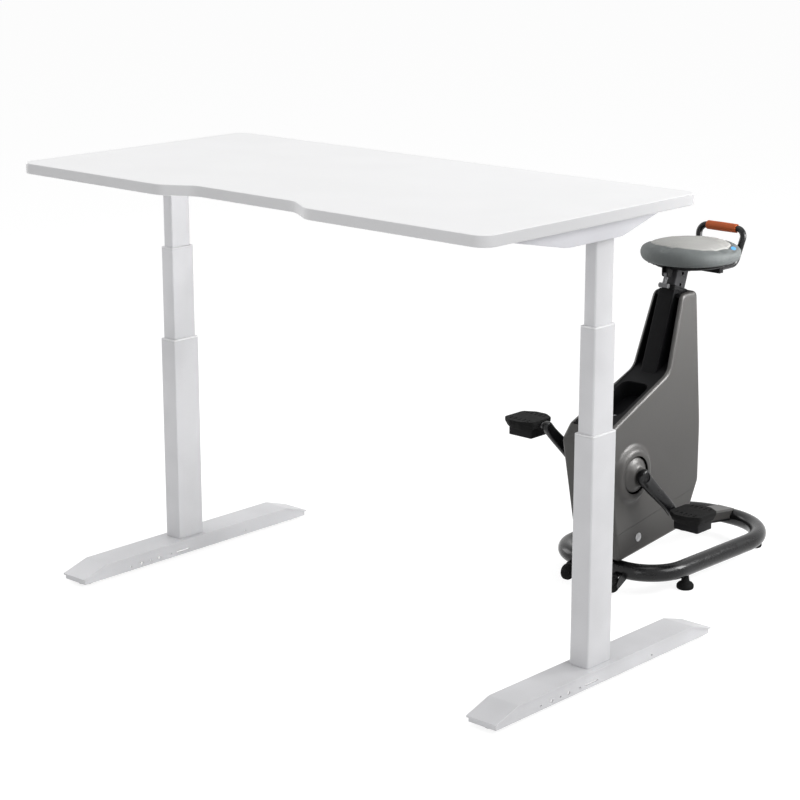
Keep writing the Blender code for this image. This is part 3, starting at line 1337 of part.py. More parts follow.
def make_pan(home):
    """Seat pan with a socket for the post, ears for the lever's pin and a bridge for the handle's ends."""
    low = SEAT_BOTTOM - PAN_THICK
    high = SEAT_BOTTOM + PAN_CROWN - GAP
    width = SEAT_HALF_WIDTH - PAN_INSET
    length = SEAT_HALF_LENGTH - PAN_INSET
    small = seat_rim(width - 0.006, length - 0.006, low)
    wide = seat_rim(width, length, low + 0.004)
    top = seat_rim(width, length, high)
    pan = piece("seat_pan", loft([small, wide, top]), "black_plastic", home, 50)
    recess = seat_rim(width - 0.012, length - 0.012, low - 0.004)
    deep = seat_rim(width - 0.012, length - 0.012, low + 0.004)
    cut(pan, loft([recess, deep]))
    socket = rectangle(POST_SIZE[0] + 2 * SOCKET_WALL, POST_SIZE[1] + 2 * SOCKET_WALL, 0.006, steps=2)
    reach = post_reach()
    fuse(pan, seat_prism(socket, reach - SOCKET_LENGTH, reach, high - 0.001))
    y, z = lever_pin()
    ear = outline([
        (y - 0.007, z - 0.007, 0.006), (y + 0.007, z - 0.007, 0.006), (y + 0.020, low + 0.006, 0),
        (y - 0.007, low + 0.006, 0)], 3)
    inner, outer = LEVER_HALF + GAP, LEVER_HALF + GAP + 0.003
    for side, _ in SIDES:
        fuse(pan, prism(ear, SIDE, *sorted((side * inner, side * outer))))
    fuse(pan, rod(LEVER_PIN, -outer + 0.001, outer - 0.001, across(y, z), 10))
    hole = rectangle(POST_SIZE[0] + 2 * GAP, POST_SIZE[1] + 2 * GAP, 0.0045, steps=2)
    cut(pan, seat_prism(hole, reach - 0.060, reach, POST_TOP + GAP))
    spread, end, middle = handle_end()
    bottom = middle - HANDLE_TUBE - BRIDGE_WALL
    top = SEAT_BOTTOM - 0.001
    size = (2 * (spread + HANDLE_TUBE + BRIDGE_WALL), BRIDGE_DEPTH, top - bottom)
    fuse(pan, box(size, (0, end - BRIDGE_WALL + BRIDGE_DEPTH / 2, (top + bottom) / 2)))
    bores = []
    for side, _ in SIDES:
        axis = FRONT @ upright(side * spread, middle)
        bores.append(rod(HANDLE_TUBE + GAP, -end - BRIDGE_DEPTH, -end + GAP, axis, 16))
    cut(pan, together(*bores))


def handle_end():
    """Half the spread of the handle's two ends, their Y, and their height under the pan."""
    spread, reach = HANDLE_FOOT
    return spread, SEAT_CENTRE + reach - HANDLE_RUN, SEAT_BOTTOM - PAN_THICK - HANDLE_TUBE - GAP


def lever_pin():
    """Pivot of the release lever, ahead of the post and just below the seat pan."""
    height = SEAT_BOTTOM - PAN_THICK - 0.010
    ahead = (POST_SIZE[1] / 2) / math.cos(SEAT_LEAN) + LEVER_AHEAD
    return (mast_axis(height) - ahead, height)


def make_lever(home):
    """Release lever: an eye on the pin, a bent rod and a barrel to pull."""
    y, z = lever_pin()
    place = empty("seat_lever_axis", (0, y, z), home)
    eye = pipe(0.0055, LEVER_PIN + RUNNING, -LEVER_HALF, LEVER_HALF, across(0, 0), 14)
    lever = piece("seat_lever", eye, "machined_steel", place)
    hook = outline([
        (0.000, -0.0042, 0), (0.004, -0.010, 0.003), (-0.004, -0.024, 0.003), (-0.012, -0.024, 0),
        (-0.006, -0.010, 0.003), (-0.0045, -0.001, 0)], 3)
    fuse(lever, prism(hook, SIDE, -0.0035, 0.0035))
    fuse(lever, rod(0.006, -0.013, 0.013, across(-0.008, -0.027), 14))


def post_reach():
    """Distance along the mast from its top to the post's top, measured on the axis."""
    return (POST_TOP - BODY_TOP) / math.cos(SEAT_LEAN)


def make_post(home):
    """Seat post: rectangular tube, cut level at its top, with a row of holes through its sides."""
    reach = post_reach()
    outer = rectangle(POST_SIZE[0], POST_SIZE[1], 0.004, steps=2)
    inner = rectangle(POST_SIZE[0] - 2 * POST_WALL, POST_SIZE[1] - 2 * POST_WALL, 0.002, steps=2)
    tube = sleeve(outer, inner, SEAT_FRAME, reach - POST_LENGTH, reach + 0.020)
    post = piece("seat_post", tube, "black_steel", home)
    cut(post, box((0.1, 0.1, 0.1), (0, mast_axis(POST_TOP), POST_TOP + 0.05)))
    drills = []
    for step in range(POST_HOLES):
        spot = MAST_TOP + SEAT_UP * (reach - POST_HOLE_START - step * POST_HOLE_PITCH)
        drills.append(rod(POST_HOLE, -0.03, 0.03, across(spot.y, spot.z), 8))
    cut(post, together(*drills))


def make_collar(home):
    """Collar on the mast: a bush inside its mouth and a cap on its rim that guides the post."""
    bore = rectangle(POST_SIZE[0] + 2 * RUNNING, POST_SIZE[1] + 2 * RUNNING, 0.004, steps=2)
    inside = MAST_WALL + GAP
    bush = rectangle(MAST_SIZE[0] - 2 * inside, MAST_SIZE[1] - 2 * inside, 0.0045, steps=2)
    wide = rectangle(COLLAR_SIZE[0], COLLAR_SIZE[1], 0.006, steps=2)
    narrow = rectangle(COLLAR_SIZE[0] - 0.004, COLLAR_SIZE[1] - 0.004, 0.005, steps=2)
    mesh = loft([
        lifted(bore, -COLLAR_BUSH), lifted(bush, -COLLAR_BUSH), lifted(bush, 0), lifted(wide, 0),
        lifted(wide, COLLAR_HEIGHT - 0.002), lifted(narrow, COLLAR_HEIGHT), lifted(bore, COLLAR_HEIGHT)],
        closed=True)
    bmesh.ops.transform(mesh, matrix=SEAT_FRAME, verts=mesh.verts)
    piece("post_collar", mesh, "black_plastic", home)


def make_handle(home):
    """Carry handle: a tube from under the pan, back and up behind the seat, with a grip on its bar."""
    back = SEAT_CENTRE + HANDLE_BACK
    spread, root, low = handle_end()
    foot = root + HANDLE_RUN
    route = outline_open([
        (-spread, root, low, 0), (-spread, foot, low, HANDLE_BEND),
        (-HANDLE_HALF, back, HANDLE_TOP, HANDLE_BEND), (HANDLE_HALF, back, HANDLE_TOP, HANDLE_BEND),
        (spread, foot, low, HANDLE_BEND), (spread, root, low, 0)], 5)
    bent_tube("carry_handle", route, HANDLE_TUBE, "black_steel", home, resolution=1)
    place = Matrix.Translation((0, back, HANDLE_TOP)) @ Matrix.Rotation(math.pi / 2, 4, "Y")
    bore = HANDLE_TUBE + GAP
    wide = HANDLE_TUBE + GRIP_THICK
    profile = [
        (bore, -GRIP_HALF), (wide - 0.001, -GRIP_HALF), (wide, -GRIP_HALF + 0.002), (wide + 0.0006, 0),
        (wide, GRIP_HALF - 0.002), (wide - 0.001, GRIP_HALF), (bore, GRIP_HALF)]
    piece("handle_grip", turned(profile, place, 18, ring=True), "grip_tan", home)


def outline_open(corners, steps):
    """Open path through (x, y, z, radius) corners, each bend an arc of its radius."""
    points = []
    for index, (x, y, z, radius) in enumerate(corners):
        here = Vector((x, y, z))
        if radius <= 0:
            points.append(here)
            continue
        back = (Vector(corners[index - 1][:3]) - here).normalized()
        ahead = (Vector(corners[index + 1][:3]) - here).normalized()
        half = back.angle(ahead) / 2
        centre = here + (back + ahead).normalized() * (radius / math.sin(half))
        first = here + back * (radius / math.tan(half)) - centre
        last = here + ahead * (radius / math.tan(half)) - centre
        total = first.angle(last)
        for step in range(steps + 1):
            share = step / steps
            weights = (math.sin((1 - share) * total), math.sin(share * total))
            points.append(centre + (first * weights[0] + last * weights[1]) / math.sin(total))
    return points


def make_bike(bike):
    crank = empty("crank_axis", (0, 0, HUB_HEIGHT), bike)
    seat = empty("seat_height_axis", MAST_TOP, bike)
    carrier = empty("seat_height_home", -MAST_TOP, seat)
    make_base(bike)
    make_beam_cover(bike)
    for side, word in SIDES:
        make_pads(side, word, bike)
        make_wheel(side, word, bike)
        make_shell(side, word, bike)
        make_hub_cover(side, word, crank)
        make_crank(side, word, crank)
        make_pedal(side, word, crank)
    make_lower_cover(bike)
    make_front_panel(bike)
    make_knob(bike)
    make_main_frame(bike)
    make_drive(bike, crank)
    make_collar(bike)
    make_post(carrier)
    make_pan(carrier)
    make_cushion(carrier)
    make_handle(carrier)
    make_lever(carrier)


def main():
    clear_scene()
    make_desk(empty("desk", (0, DESK_Y, 0)))
    make_bike(empty("bike", (BIKE_X, DESK_Y + BIKE_BACK, 0)))


main()
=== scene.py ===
"""Looks of a height-adjustable desk and of the bike trainer that stands behind it.

Metres, +Z up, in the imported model's frame. Each operator makes one piece or one group of like pieces on
the loaded frame; main() runs them in order. A panel in the 3D view's sidebar lists the same operators.
"""
import json
import math

import bmesh
import bpy
import numpy as np
from bpy.props import FloatProperty, FloatVectorProperty, PointerProperty
from mathutils import Matrix, Vector

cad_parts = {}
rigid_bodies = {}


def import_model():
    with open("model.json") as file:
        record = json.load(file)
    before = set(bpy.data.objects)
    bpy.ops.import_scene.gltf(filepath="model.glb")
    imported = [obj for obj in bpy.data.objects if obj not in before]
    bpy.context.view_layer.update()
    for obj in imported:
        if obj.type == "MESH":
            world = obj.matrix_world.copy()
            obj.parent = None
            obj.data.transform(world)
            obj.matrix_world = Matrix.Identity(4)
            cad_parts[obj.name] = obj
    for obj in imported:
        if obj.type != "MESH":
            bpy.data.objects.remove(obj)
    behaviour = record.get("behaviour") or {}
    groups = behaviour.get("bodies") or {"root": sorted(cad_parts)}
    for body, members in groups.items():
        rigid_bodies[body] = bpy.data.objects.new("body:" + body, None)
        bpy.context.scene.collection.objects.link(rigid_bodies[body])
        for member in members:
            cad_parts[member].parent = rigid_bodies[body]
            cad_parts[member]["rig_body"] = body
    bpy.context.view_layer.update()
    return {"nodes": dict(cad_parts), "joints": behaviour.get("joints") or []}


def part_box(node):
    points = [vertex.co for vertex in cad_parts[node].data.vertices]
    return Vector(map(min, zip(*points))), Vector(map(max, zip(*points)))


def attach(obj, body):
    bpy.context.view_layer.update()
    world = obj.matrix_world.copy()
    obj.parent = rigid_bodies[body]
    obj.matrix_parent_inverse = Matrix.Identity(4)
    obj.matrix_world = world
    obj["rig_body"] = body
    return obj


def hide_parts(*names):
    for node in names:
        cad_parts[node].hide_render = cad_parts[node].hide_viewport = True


bl_info = {
    "name": "Bike trainer desk looks",
    "version": (1, 0, 0),
    "blender": (4, 5, 0),
    "location": "3D View > Sidebar > Trainer desk",
    "description": "Builds the fine surfaces and finishes of a height-adjustable desk with a bike trainer",
    "category": "Object",
}

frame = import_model()
JOINTS = {joint["name"]: joint for joint in frame["joints"]}


def joint_place(name):
    return Vector(JOINTS[name]["pos_m"])


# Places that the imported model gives
CRANK = joint_place("crank_spin")
BOARD_LOW, BOARD_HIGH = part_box("desktop")
BOARD_MIDDLE = (BOARD_LOW.y + BOARD_HIGH.y) / 2
SEAT_UP = Vector(JOINTS["seat_height"]["axis"]).normalized()
LEAN = math.atan2(SEAT_UP.y, SEAT_UP.z)

# Each side's sign along X and the word for it in the names
SIDES = ((-1, "left"), (1, "right"))

# Points closer than this are one, and edges flatter than this many degrees are shaded smooth
MERGE, SMOOTH_BELOW = 2e-6, 35

# The board's corner radius and its hollowed front: half widths outside and inside, depth, radius
BOARD_CORNER, HOLLOW_WIDE, HOLLOW_NARROW, HOLLOW_DEEP, HOLLOW_ROUND = 0.035, 0.224, 0.150, 0.045, 0.060

# The column tubes' corner radii outside and inside, wall and softened rim
TUBE_ROUND, TUBE_ROUND_INSIDE, TUBE_WALL, TUBE_RIM = 0.004, 0.0024, 0.0018, 0.0004

# The collars' whole wall, the gap that keeps them off the tube, the sleeve's corner radius and the rim's
COLLAR_WALL, COLLAR_GAP, SLEEVE_ROUND, COLLAR_RIM = 0.005, 0.0003, 0.0034, 0.0012

# Corners of the body's outline, as Y from the crank axis, Z from the floor and corner radius, then its half
# widths, walls, seam and swelling, the lines of its opening, and its badge's place
CHIN, KEEL, TAIL = (-0.042, 0.0788, 0.012), (0.224, 0.108, 0.025), (0.278, 0.216, 0.040)
TOP_REAR, BROW, BEND = (0.278, 0.690, 0.014), (0.21567, 0.690, 0.020), (0.15300, 0.508, 0.035)
DECK_FRONT, NOSE = (-0.080, 0.412, 0.020), (-0.106, 0.378, 0.020)
BODY_HALF, BODY_HALF_TOP, TAPER_FROM, BODY_TOP = 0.066, 0.044, 0.360, 0.690
EDGE_ROUND, WALL = 0.008, 0.003
SEAM_SLOPE, SEAM_GAP = 0.162, 0.0006
SEAM_AT = 0.139 + SEAM_SLOPE * 0.106
SWELL_CROWN, SWELL_RISE, HUB_HOLE = 0.053, 0.013, 0.0465
OPEN_FROM, OPEN_BEND, OPEN_LEAN, OPEN_SHOULDER, OPEN_REAR = 0.409, 0.16, 0.35, 0.60, 0.264
BADGE_AT = (0.2444, 0.1254)
MAST_TOP = Vector((CRANK.x, CRANK.y + 0.240, BODY_TOP))
RING = dict(height=0.055, tube=0.021, front=-0.019, rear=0.505, half_front=0.160, half_rear=0.170,
            round_front=0.100, round_rear=0.150)

# The beam's top line as Y from the crank axis and Z, its section, and the slot that it passes through
BEAM_LINE = ((-0.030, 0.100), (0.075, 0.100), (0.224, 0.116), (0.505, 0.0755))
BEAM_HALF, BEAM_DEPTH, BEAM_WALL = 0.025, 0.028, 0.0025
BEAM_SLOT = ((-0.0306, 0.044), (0.505, 0.044), (0.505, 0.0761), (0.224, 0.1166), (0.075, 0.1006),
             (-0.0306, 0.1006))
SLOT_HALF = 0.0256

# The wheel forks' cheeks, as near and far distance from the wheel's middle, and the pin's radius and half
CHEEK_NEAR, CHEEK_FAR, PIN_RADIUS, PIN_HALF = 0.0098, 0.0128, 0.004, 0.0108

# Cranks, pedals and seat; the right crank's angle is from the +Y direction
CRANK_ANGLE, CRANK_LENGTH, CRANK_FROM = math.radians(-50), 0.128, 0.0905
CRANK_THICK, CRANK_SWEEP, AXLE_BORE = 0.020, 0.026, 0.0088
PEDAL_FROM, PEDAL_HALF, PEDAL_LONG, PEDAL_LOW, PEDAL_TOP = 0.1425, 0.045, 0.0525, -0.008, 0.014
SLOT_PITCH, SLOT_ROW, SLOT_DEEP = 0.01296, PEDAL_LONG * 0.60, 0.005
SEAT_MIDDLE = Vector((CRANK.x, CRANK.y + 0.303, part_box("seat_cushion")[0].z))
SEAT_HALF_WIDTH, SEAT_HALF_LENGTH, SEAT_THICK = 0.122, 0.125, 0.050
POST_REACH = (0.752 - BODY_TOP) / math.cos(LEAN)
POST_LONG, POST_BELOW_SEAT, HOLE_FIRST, HOLE_PITCH, HOLE_RADIUS = 0.330, 0.009, 0.022, 0.028, 0.0042

# The cushion's grid, the pressure that swells it and the frames that it has, and the height that is held
VOXEL, SWELL_PRESSURE, SWELL_FRAMES, HELD_HEIGHT = 0.005, 4, 20, 0.004

# The hem's middle and outer line as shares of the seat's outline, and its half width and half height
HEM_LINE, HEM_OUTER, HEM_WIDE, HEM_HIGH = 0.83, 0.955, 0.0042, 0.0014

# The seam's reach from the seat's middle as a share, what it loses in front, its groove's depth and width,
# and the stitches' distance from it and number in a metre
SEAM_REACH, SEAM_FRONT, GROOVE_DEEP, GROOVE_WIDE = 0.80, 0.06, 0.0015, 0.0024
STITCH_AT, STITCHES = 0.0034, 250.0
LABEL_AT, LABEL_HALF_WIDTH, LABEL_HALF_LENGTH = Vector((0.1000, 0.0400, 0.0385)), 0.0105, 0.0065


# Curves and surfaces


def circle(steps):
    """Angles at equal steps once round."""
    return np.linspace(0, 2 * math.pi, steps, endpoint=False)


def unit(vectors):
    """The vectors at a length of one."""
    return vectors / np.linalg.norm(vectors, axis=-1, keepdims=True)


def corner_arc(before, here, after, radius):
    """The arc in a corner: its centre, its radii to where it touches the sides, and half the corner's angle.

    The centre lies on the bisector at radius / sin(half angle), and the arc touches the sides at radius /
    tan(half angle) from the corner.
    """
    back, ahead = (unit(np.array(point, float) - here) for point in (before, after))
    half = math.acos(np.clip(back @ ahead, -1, 1)) / 2
    centre = here + unit(back + ahead) * radius / math.sin(half)
    first, last = (here + way * radius / math.tan(half) - centre for way in (back, ahead))
    return centre, first, last, half


def rounded(corners, arc_steps):
    """Closed outline through (u, v, radius) corners, as points, and each arc's middle index."""
    points, middles = [], []
    for index, (*spot, radius) in enumerate(corners):
        after = corners[(index + 1) % len(corners)]
        centre, first, last, _ = corner_arc(corners[index - 1][:2], np.array(spot, float), after[:2], radius)
        start = math.atan2(first[1], first[0])
        turn = (math.atan2(last[1], last[0]) - start + math.pi) % (2 * math.pi) - math.pi
        angles = start + turn * np.linspace(0, 1, arc_steps + 1)
        middles.append(len(points) + arc_steps // 2)
        points.extend(centre + radius * np.column_stack([np.cos(angles), np.sin(angles)]))
    return np.array(points), middles


def rectangle(low, high, radius, inset=0.0, arc_steps=8):
    """Outline with rounded corners between two opposite corners, moved in by the inset."""
    left, near, right, far = low[0] + inset, low[1] + inset, high[0] - inset, high[1] - inset
    corners = ((left, near), (right, near), (right, far), (left, far))
    return rounded([(*corner, radius) for corner in corners], arc_steps)[0]


def rod(radius, low, high):
    """Profile of a plain cylinder."""
    return [(0, low), (radius, low), (radius, high), (0, high)]


def level(outline, height):
    """The outline's points at one height."""
    return np.column_stack([outline, np.full(len(outline), height)])


def spaced(points, count, closed=True, shares=None):
    """The path through the points, sampled at equal lengths, or at the given shares of its length."""
    path = np.vstack([points, points[:1]]) if closed else np.asarray(points, float)
    length = np.concatenate([[0], np.cumsum(np.linalg.norm(np.diff(path, axis=0), axis=1))])
    if shares is None:
        shares = np.linspace(0, 1, count, endpoint=not closed)
    return np.column_stack([np.interp(shares * length[-1], length, column) for column in path.T])


def outward(points):
    """Unit normals of a closed anticlockwise outline: the tangent at each point, turned right."""
    tangent = np.roll(points, -1, 0) - np.roll(points, 1, 0)
    return unit(np.column_stack([tangent[:, 1], -tangent[:, 0]]))


def surface(name, grid, around=True, along=False, ends=(False, False), keep=None):
    """Mesh of a grid whose rows and columns are its two parameters.

    Each four neighbours make a face; the columns close with around, the rows with along. An end caps the
    first or last row with one face, and keep is a mask of the faces that stay.
    """
    rows, columns = grid.shape[:2]
    index = np.arange(rows * columns).reshape(rows, columns)
    wrapped = np.column_stack([index, index[:, :1]]) if around else index
    wrapped = np.vstack([wrapped, wrapped[:1]]) if along else wrapped
    quads = np.stack([wrapped[:-1, :-1], wrapped[:-1, 1:], wrapped[1:, 1:], wrapped[1:, :-1]], axis=-1)
    quads = quads[keep] if keep is not None else quads.reshape(-1, 4)
    faces = quads.tolist()
    if ends[0]:
        faces.append(index[0, ::-1].tolist())
    if ends[1]:
        faces.append(index[-1].tolist())
    data = bpy.data.meshes.new(name)
    data.from_pydata(grid.reshape(-1, 3).tolist(), [], faces)
    return data


def editable(*parts):
    """Working mesh of one or more meshes."""
    mesh = bmesh.new()
    for data in parts:
        mesh.from_mesh(data)
    return mesh


def written(mesh, data):
    """Puts a working mesh into a mesh's data and frees it."""
    mesh.to_mesh(data)
    mesh.free()
    return data


def tidied(data, solid=True):
    """Merges doubles, and on a closed shape turns every face outwards."""
    mesh = editable(data)
    bmesh.ops.remove_doubles(mesh, verts=mesh.verts, dist=MERGE)
    if solid:
        bmesh.ops.recalc_face_normals(mesh, faces=mesh.faces)
    return written(mesh, data)


def placed(points, place):
    """The points of a grid, moved by a 4 x 4 matrix."""
    matrix = np.array(place)
    return points @ matrix[:3, :3].T + matrix[:3, 3]


def quarter(radius, steps):
    """Inset and depth along a quarter round: radius times 1 - sin and 1 - cos of the angle."""
    angle = np.linspace(0, math.pi / 2, steps + 1)
    return radius * (1 - np.sin(angle)), radius * (1 - np.cos(angle))


def slab(name, outline, place, low, high, edge, steps=4):
    """Plate with rounded edges: the outline moves in along its normals by a quarter round at both faces."""
    inset, depth = quarter(edge, steps)
    inset = np.concatenate([inset, inset[::-1]])
    height = np.concatenate([low + depth, high - depth[::-1]])
    flat = outline[None] - outward(outline)[None] * inset[:, None, None]
    grid = np.concatenate([flat, np.broadcast_to(height[:, None, None], (*flat.shape[:2], 1))], axis=2)
    return tidied(surface(name, placed(grid, place), ends=(True, True)))


def tube_of(name, outer, inner, place, low, high, edge=0.0006):
    """Open tube between two outlines: out at the bottom, up, over the rim and down inside."""
    rows = [(inner, low + edge, 0), (inner, low, edge), (outer, low, -edge), (outer, low + edge, 0),
            (outer, high - edge, 0), (outer, high, -edge), (inner, high, edge), (inner, high - edge, 0)]
    loops = [level(outline + outward(outline) * grow, height) for outline, height, grow in rows]
    return tidied(surface(name, placed(np.array(loops), place), along=True))


def turned(name, profile, place, steps, ring=False):
    """Surface of revolution: each (radius, height) of the profile carried round the place's third axis."""
    angle = circle(steps)
    profile = np.asarray(profile, float)
    radius, height = profile[:, :1], profile[:, 1:]
    grid = np.stack([radius * np.cos(angle), radius * np.sin(angle), height + 0 * angle], axis=-1)
    return tidied(surface(name, placed(grid, place), along=ring))


def softened_profile(corners, radius, steps=3, ring=False):
    """A turned profile's inner corners, each cut back by the radius and bridged by a quadratic curve."""
    corners = np.asarray(corners, float)
    share = np.linspace(0, 1, steps + 1)[:, None]
    out = [] if ring else [corners[:1]]
    for index in range(0 if ring else 1, len(corners) if ring else len(corners) - 1):
        before, here, after = corners[index - 1], corners[index], corners[(index + 1) % len(corners)]
        reach = min(radius, np.linalg.norm(before - here) / 2.2, np.linalg.norm(after - here) / 2.2)
        start, end = here + unit(before - here) * reach, here + unit(after - here) * reach
        out.append((1 - share) ** 2 * start + 2 * share * (1 - share) * here + share ** 2 * end)
    if not ring:
        out.append(corners[-1:])
    return np.vstack(out)


def softly_turned(name, profile, radius, place, steps, ring=False, bend_steps=3):
    """Surface of revolution whose profile has its corners softened."""
    return turned(name, softened_profile(profile, radius, bend_steps, ring), place, steps, ring)


def bent(corners, steps=14):
    """Open path through (x, y, z, radius) corners.

    In a bend the arc's two radii are blended by the sines of what is left and what is done of the turn,
    over the sine of the whole turn.
    """
    points = []
    for index, (*spot, radius) in enumerate(corners):
        here = np.array(spot, float)
        if radius <= 0:
            points.append(here[None])
            continue
        centre, first, last, half = corner_arc(corners[index - 1][:3], here, corners[index + 1][:3], radius)
        turn = math.pi - 2 * half
        done = np.linspace(0, 1, steps + 1)[:, None] * turn
        points.append(centre + (np.sin(turn - done) * first + np.sin(done) * last) / math.sin(turn))
    return np.vstack(points)


def swept(name, path, radius, reference, sides, closed=False):
    """Round tube: at each point of the path a circle in the plane square to the tangent.

    The circle's first axis is the tangent crossed with a fixed reference, so it never twists.
    """
    path = np.asarray(path, float)
    if closed:
        tangent = np.roll(path, -1, 0) - np.roll(path, 1, 0)
    else:
        tangent = np.vstack([path[1] - path[0], path[2:] - path[:-2], path[-1] - path[-2]])
    tangent = unit(tangent)
    first = unit(np.cross(tangent, reference))
    second = np.cross(tangent, first)
    angle = circle(sides)[None, :, None]
    grid = path[:, None] + radius * (np.cos(angle) * first[:, None] + np.sin(angle) * second[:, None])
    return tidied(surface(name, grid, along=closed, ends=(not closed, not closed)))


def block_of(name, outline, place, low, high):
    """Plain prism of an outline, for cutting."""
    grid = np.stack([level(outline, height) for height in (low, high)])
    return tidied(surface(name, placed(grid, place), ends=(True, True)))


def across(x, y, z, side=1):
    """Place whose third axis runs along X, towards the given side."""
    return Matrix.Translation((x, y, z)) @ Matrix.Rotation(side * math.pi / 2, 4, "Y")


SIDE_VIEW = Matrix(((0, 0, 1, CRANK.x), (1, 0, 0, CRANK.y), (0, 1, 0, 0), (0, 0, 0, 1)))
SEAT_PLACE = Matrix((
    (1, 0, 0, MAST_TOP.x),
    (0, -math.cos(LEAN), math.sin(LEAN), MAST_TOP.y),
    (0, math.sin(LEAN), math.cos(LEAN), MAST_TOP.z),
    (0, 0, 0, 1)))


# Pieces


def look(name):
    return bpy.data.materials[name + "_finish"]


def body_of(node):
    return frame["nodes"][node]["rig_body"]


def shaded(data, smooth_below=SMOOTH_BELOW):
    """Shades smoothly across edges that are flatter than the angle."""
    data.shade_smooth()
    data.set_sharp_from_angle(angle=math.radians(smooth_below))


def new_object(name, data):
    item = bpy.data.objects.new(name, data)
    bpy.context.scene.collection.objects.link(item)
    return item


def add(data, finish, stands_for=(), body=None, smooth_below=SMOOTH_BELOW):
    """Shows a mesh as a piece: shaded, painted, riding on its body and standing for its CAD nodes."""
    item = new_object(data.name, data)
    shaded(data, smooth_below)
    data.materials.clear()
    data.materials.append(look(finish))
    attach(item, body or body_of(stands_for[0]))
    if stands_for:
        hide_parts(*stands_for)
    return item


def modified(item, name, kind, **values):
    """Adds a modifier with the given values."""
    made = item.modifiers.new(name, kind)
    for key, value in values.items():
        setattr(made, key, value)


def applied(item):
    """Puts the modifiers' result into the piece's mesh."""
    bpy.context.view_layer.update()
    graph = bpy.context.evaluated_depsgraph_get()
    data = bpy.data.meshes.new_from_object(item.evaluated_get(graph), depsgraph=graph)
    data.name = item.data.name
    item.modifiers.clear()
    item.data = data


def eased(item, width, segments=2, angle=32):
    """Rounds each edge that is sharper than the angle."""
    modified(item, "edges", "BEVEL", width=width, segments=segments, limit_method="ANGLE",
             angle_limit=math.radians(angle))
    modified(item, "normals", "WEIGHTED_NORMAL", keep_sharp=True)


def carved(item, *cutters):
    """Takes the cutters out of the piece."""
    tools = [new_object("cutter", data) for data in cutters]
    for tool in tools:
        modified(item, "hole", "BOOLEAN", operation="DIFFERENCE", object=tool)
    applied(item)
    for tool in tools:
        bpy.data.objects.remove(tool)
    shaded(item.data)
    return item


def softened(node, finish, width, segments=2, angle=32):
    """Finer copy of a CAD node: triangles merged into flat faces, every sharp edge rounded."""
    mesh = editable(frame["nodes"][node].data)
    bmesh.ops.remove_doubles(mesh, verts=mesh.verts, dist=MERGE)
    bmesh.ops.dissolve_limit(mesh, angle_limit=math.radians(0.4), verts=mesh.verts, edges=mesh.edges)
    data = written(mesh, bpy.data.meshes.new(node + "_fine"))
    eased(add(data, finish, (node,), smooth_below=angle), width, segments, angle)


def vectors_of(items, key):
    """One vector of each point or face of a mesh, as an array."""
    values = np.empty(len(items) * 3)
    items.foreach_get(key, values)
    return values.reshape(-1, 3)


# Shader arithmetic


class Value:
    """One socket's value in a material; the operators add Math nodes."""

    def __init__(self, pot, socket):
        self.pot = pot
        self.socket = socket

    def through(self, operation, *others):
        """The value after a Math node that takes it and the others."""
        return self.pot.node("ShaderNodeMath", dict(enumerate((self, *others))), operation=operation)

    def __add__(self, other):
        return self.through("ADD", other)

    def __sub__(self, other):
        return self.through("SUBTRACT", other)

    def __mul__(self, other):
        return self.through("MULTIPLY", other)


class Nodes:
    """A node tree that is filled by calls."""

    def __init__(self, tree):
        self.tree = tree

    def node(self, kind, inputs=None, out=0, **options):
        """Adds one node: its options first, then the values or links of its sockets."""
        made = self.tree.nodes.new(kind)
        for key, option in options.items():
            setattr(made, key, option)
        for key, given in (inputs or {}).items():
            self.feed(made.inputs[key], given)
        return Value(self, made.outputs[out])

    def feed(self, socket, given):
        if isinstance(given, Value):
            self.tree.links.new(given.socket, socket)
        elif hasattr(given, "__len__") and len(given) == 3 and socket.type == "RGBA":
            socket.default_value = (*given, 1.0)
        else:
            socket.default_value = given

    def show(self, output, lit, seen):
        """Feeds the output: one shader for what camera, mirror or glass sees, one for all other light."""
        camera, glossy, glass = (self.node("ShaderNodeLightPath", out=kind) for kind in (
            "Is Camera Ray", "Is Glossy Ray", "Is Transmission Ray"))
        shown = self.node("ShaderNodeMixShader", {0: camera + glossy + glass, 1: lit, 2: seen})
        self.feed(self.tree.nodes[output].inputs["Surface"], shown)


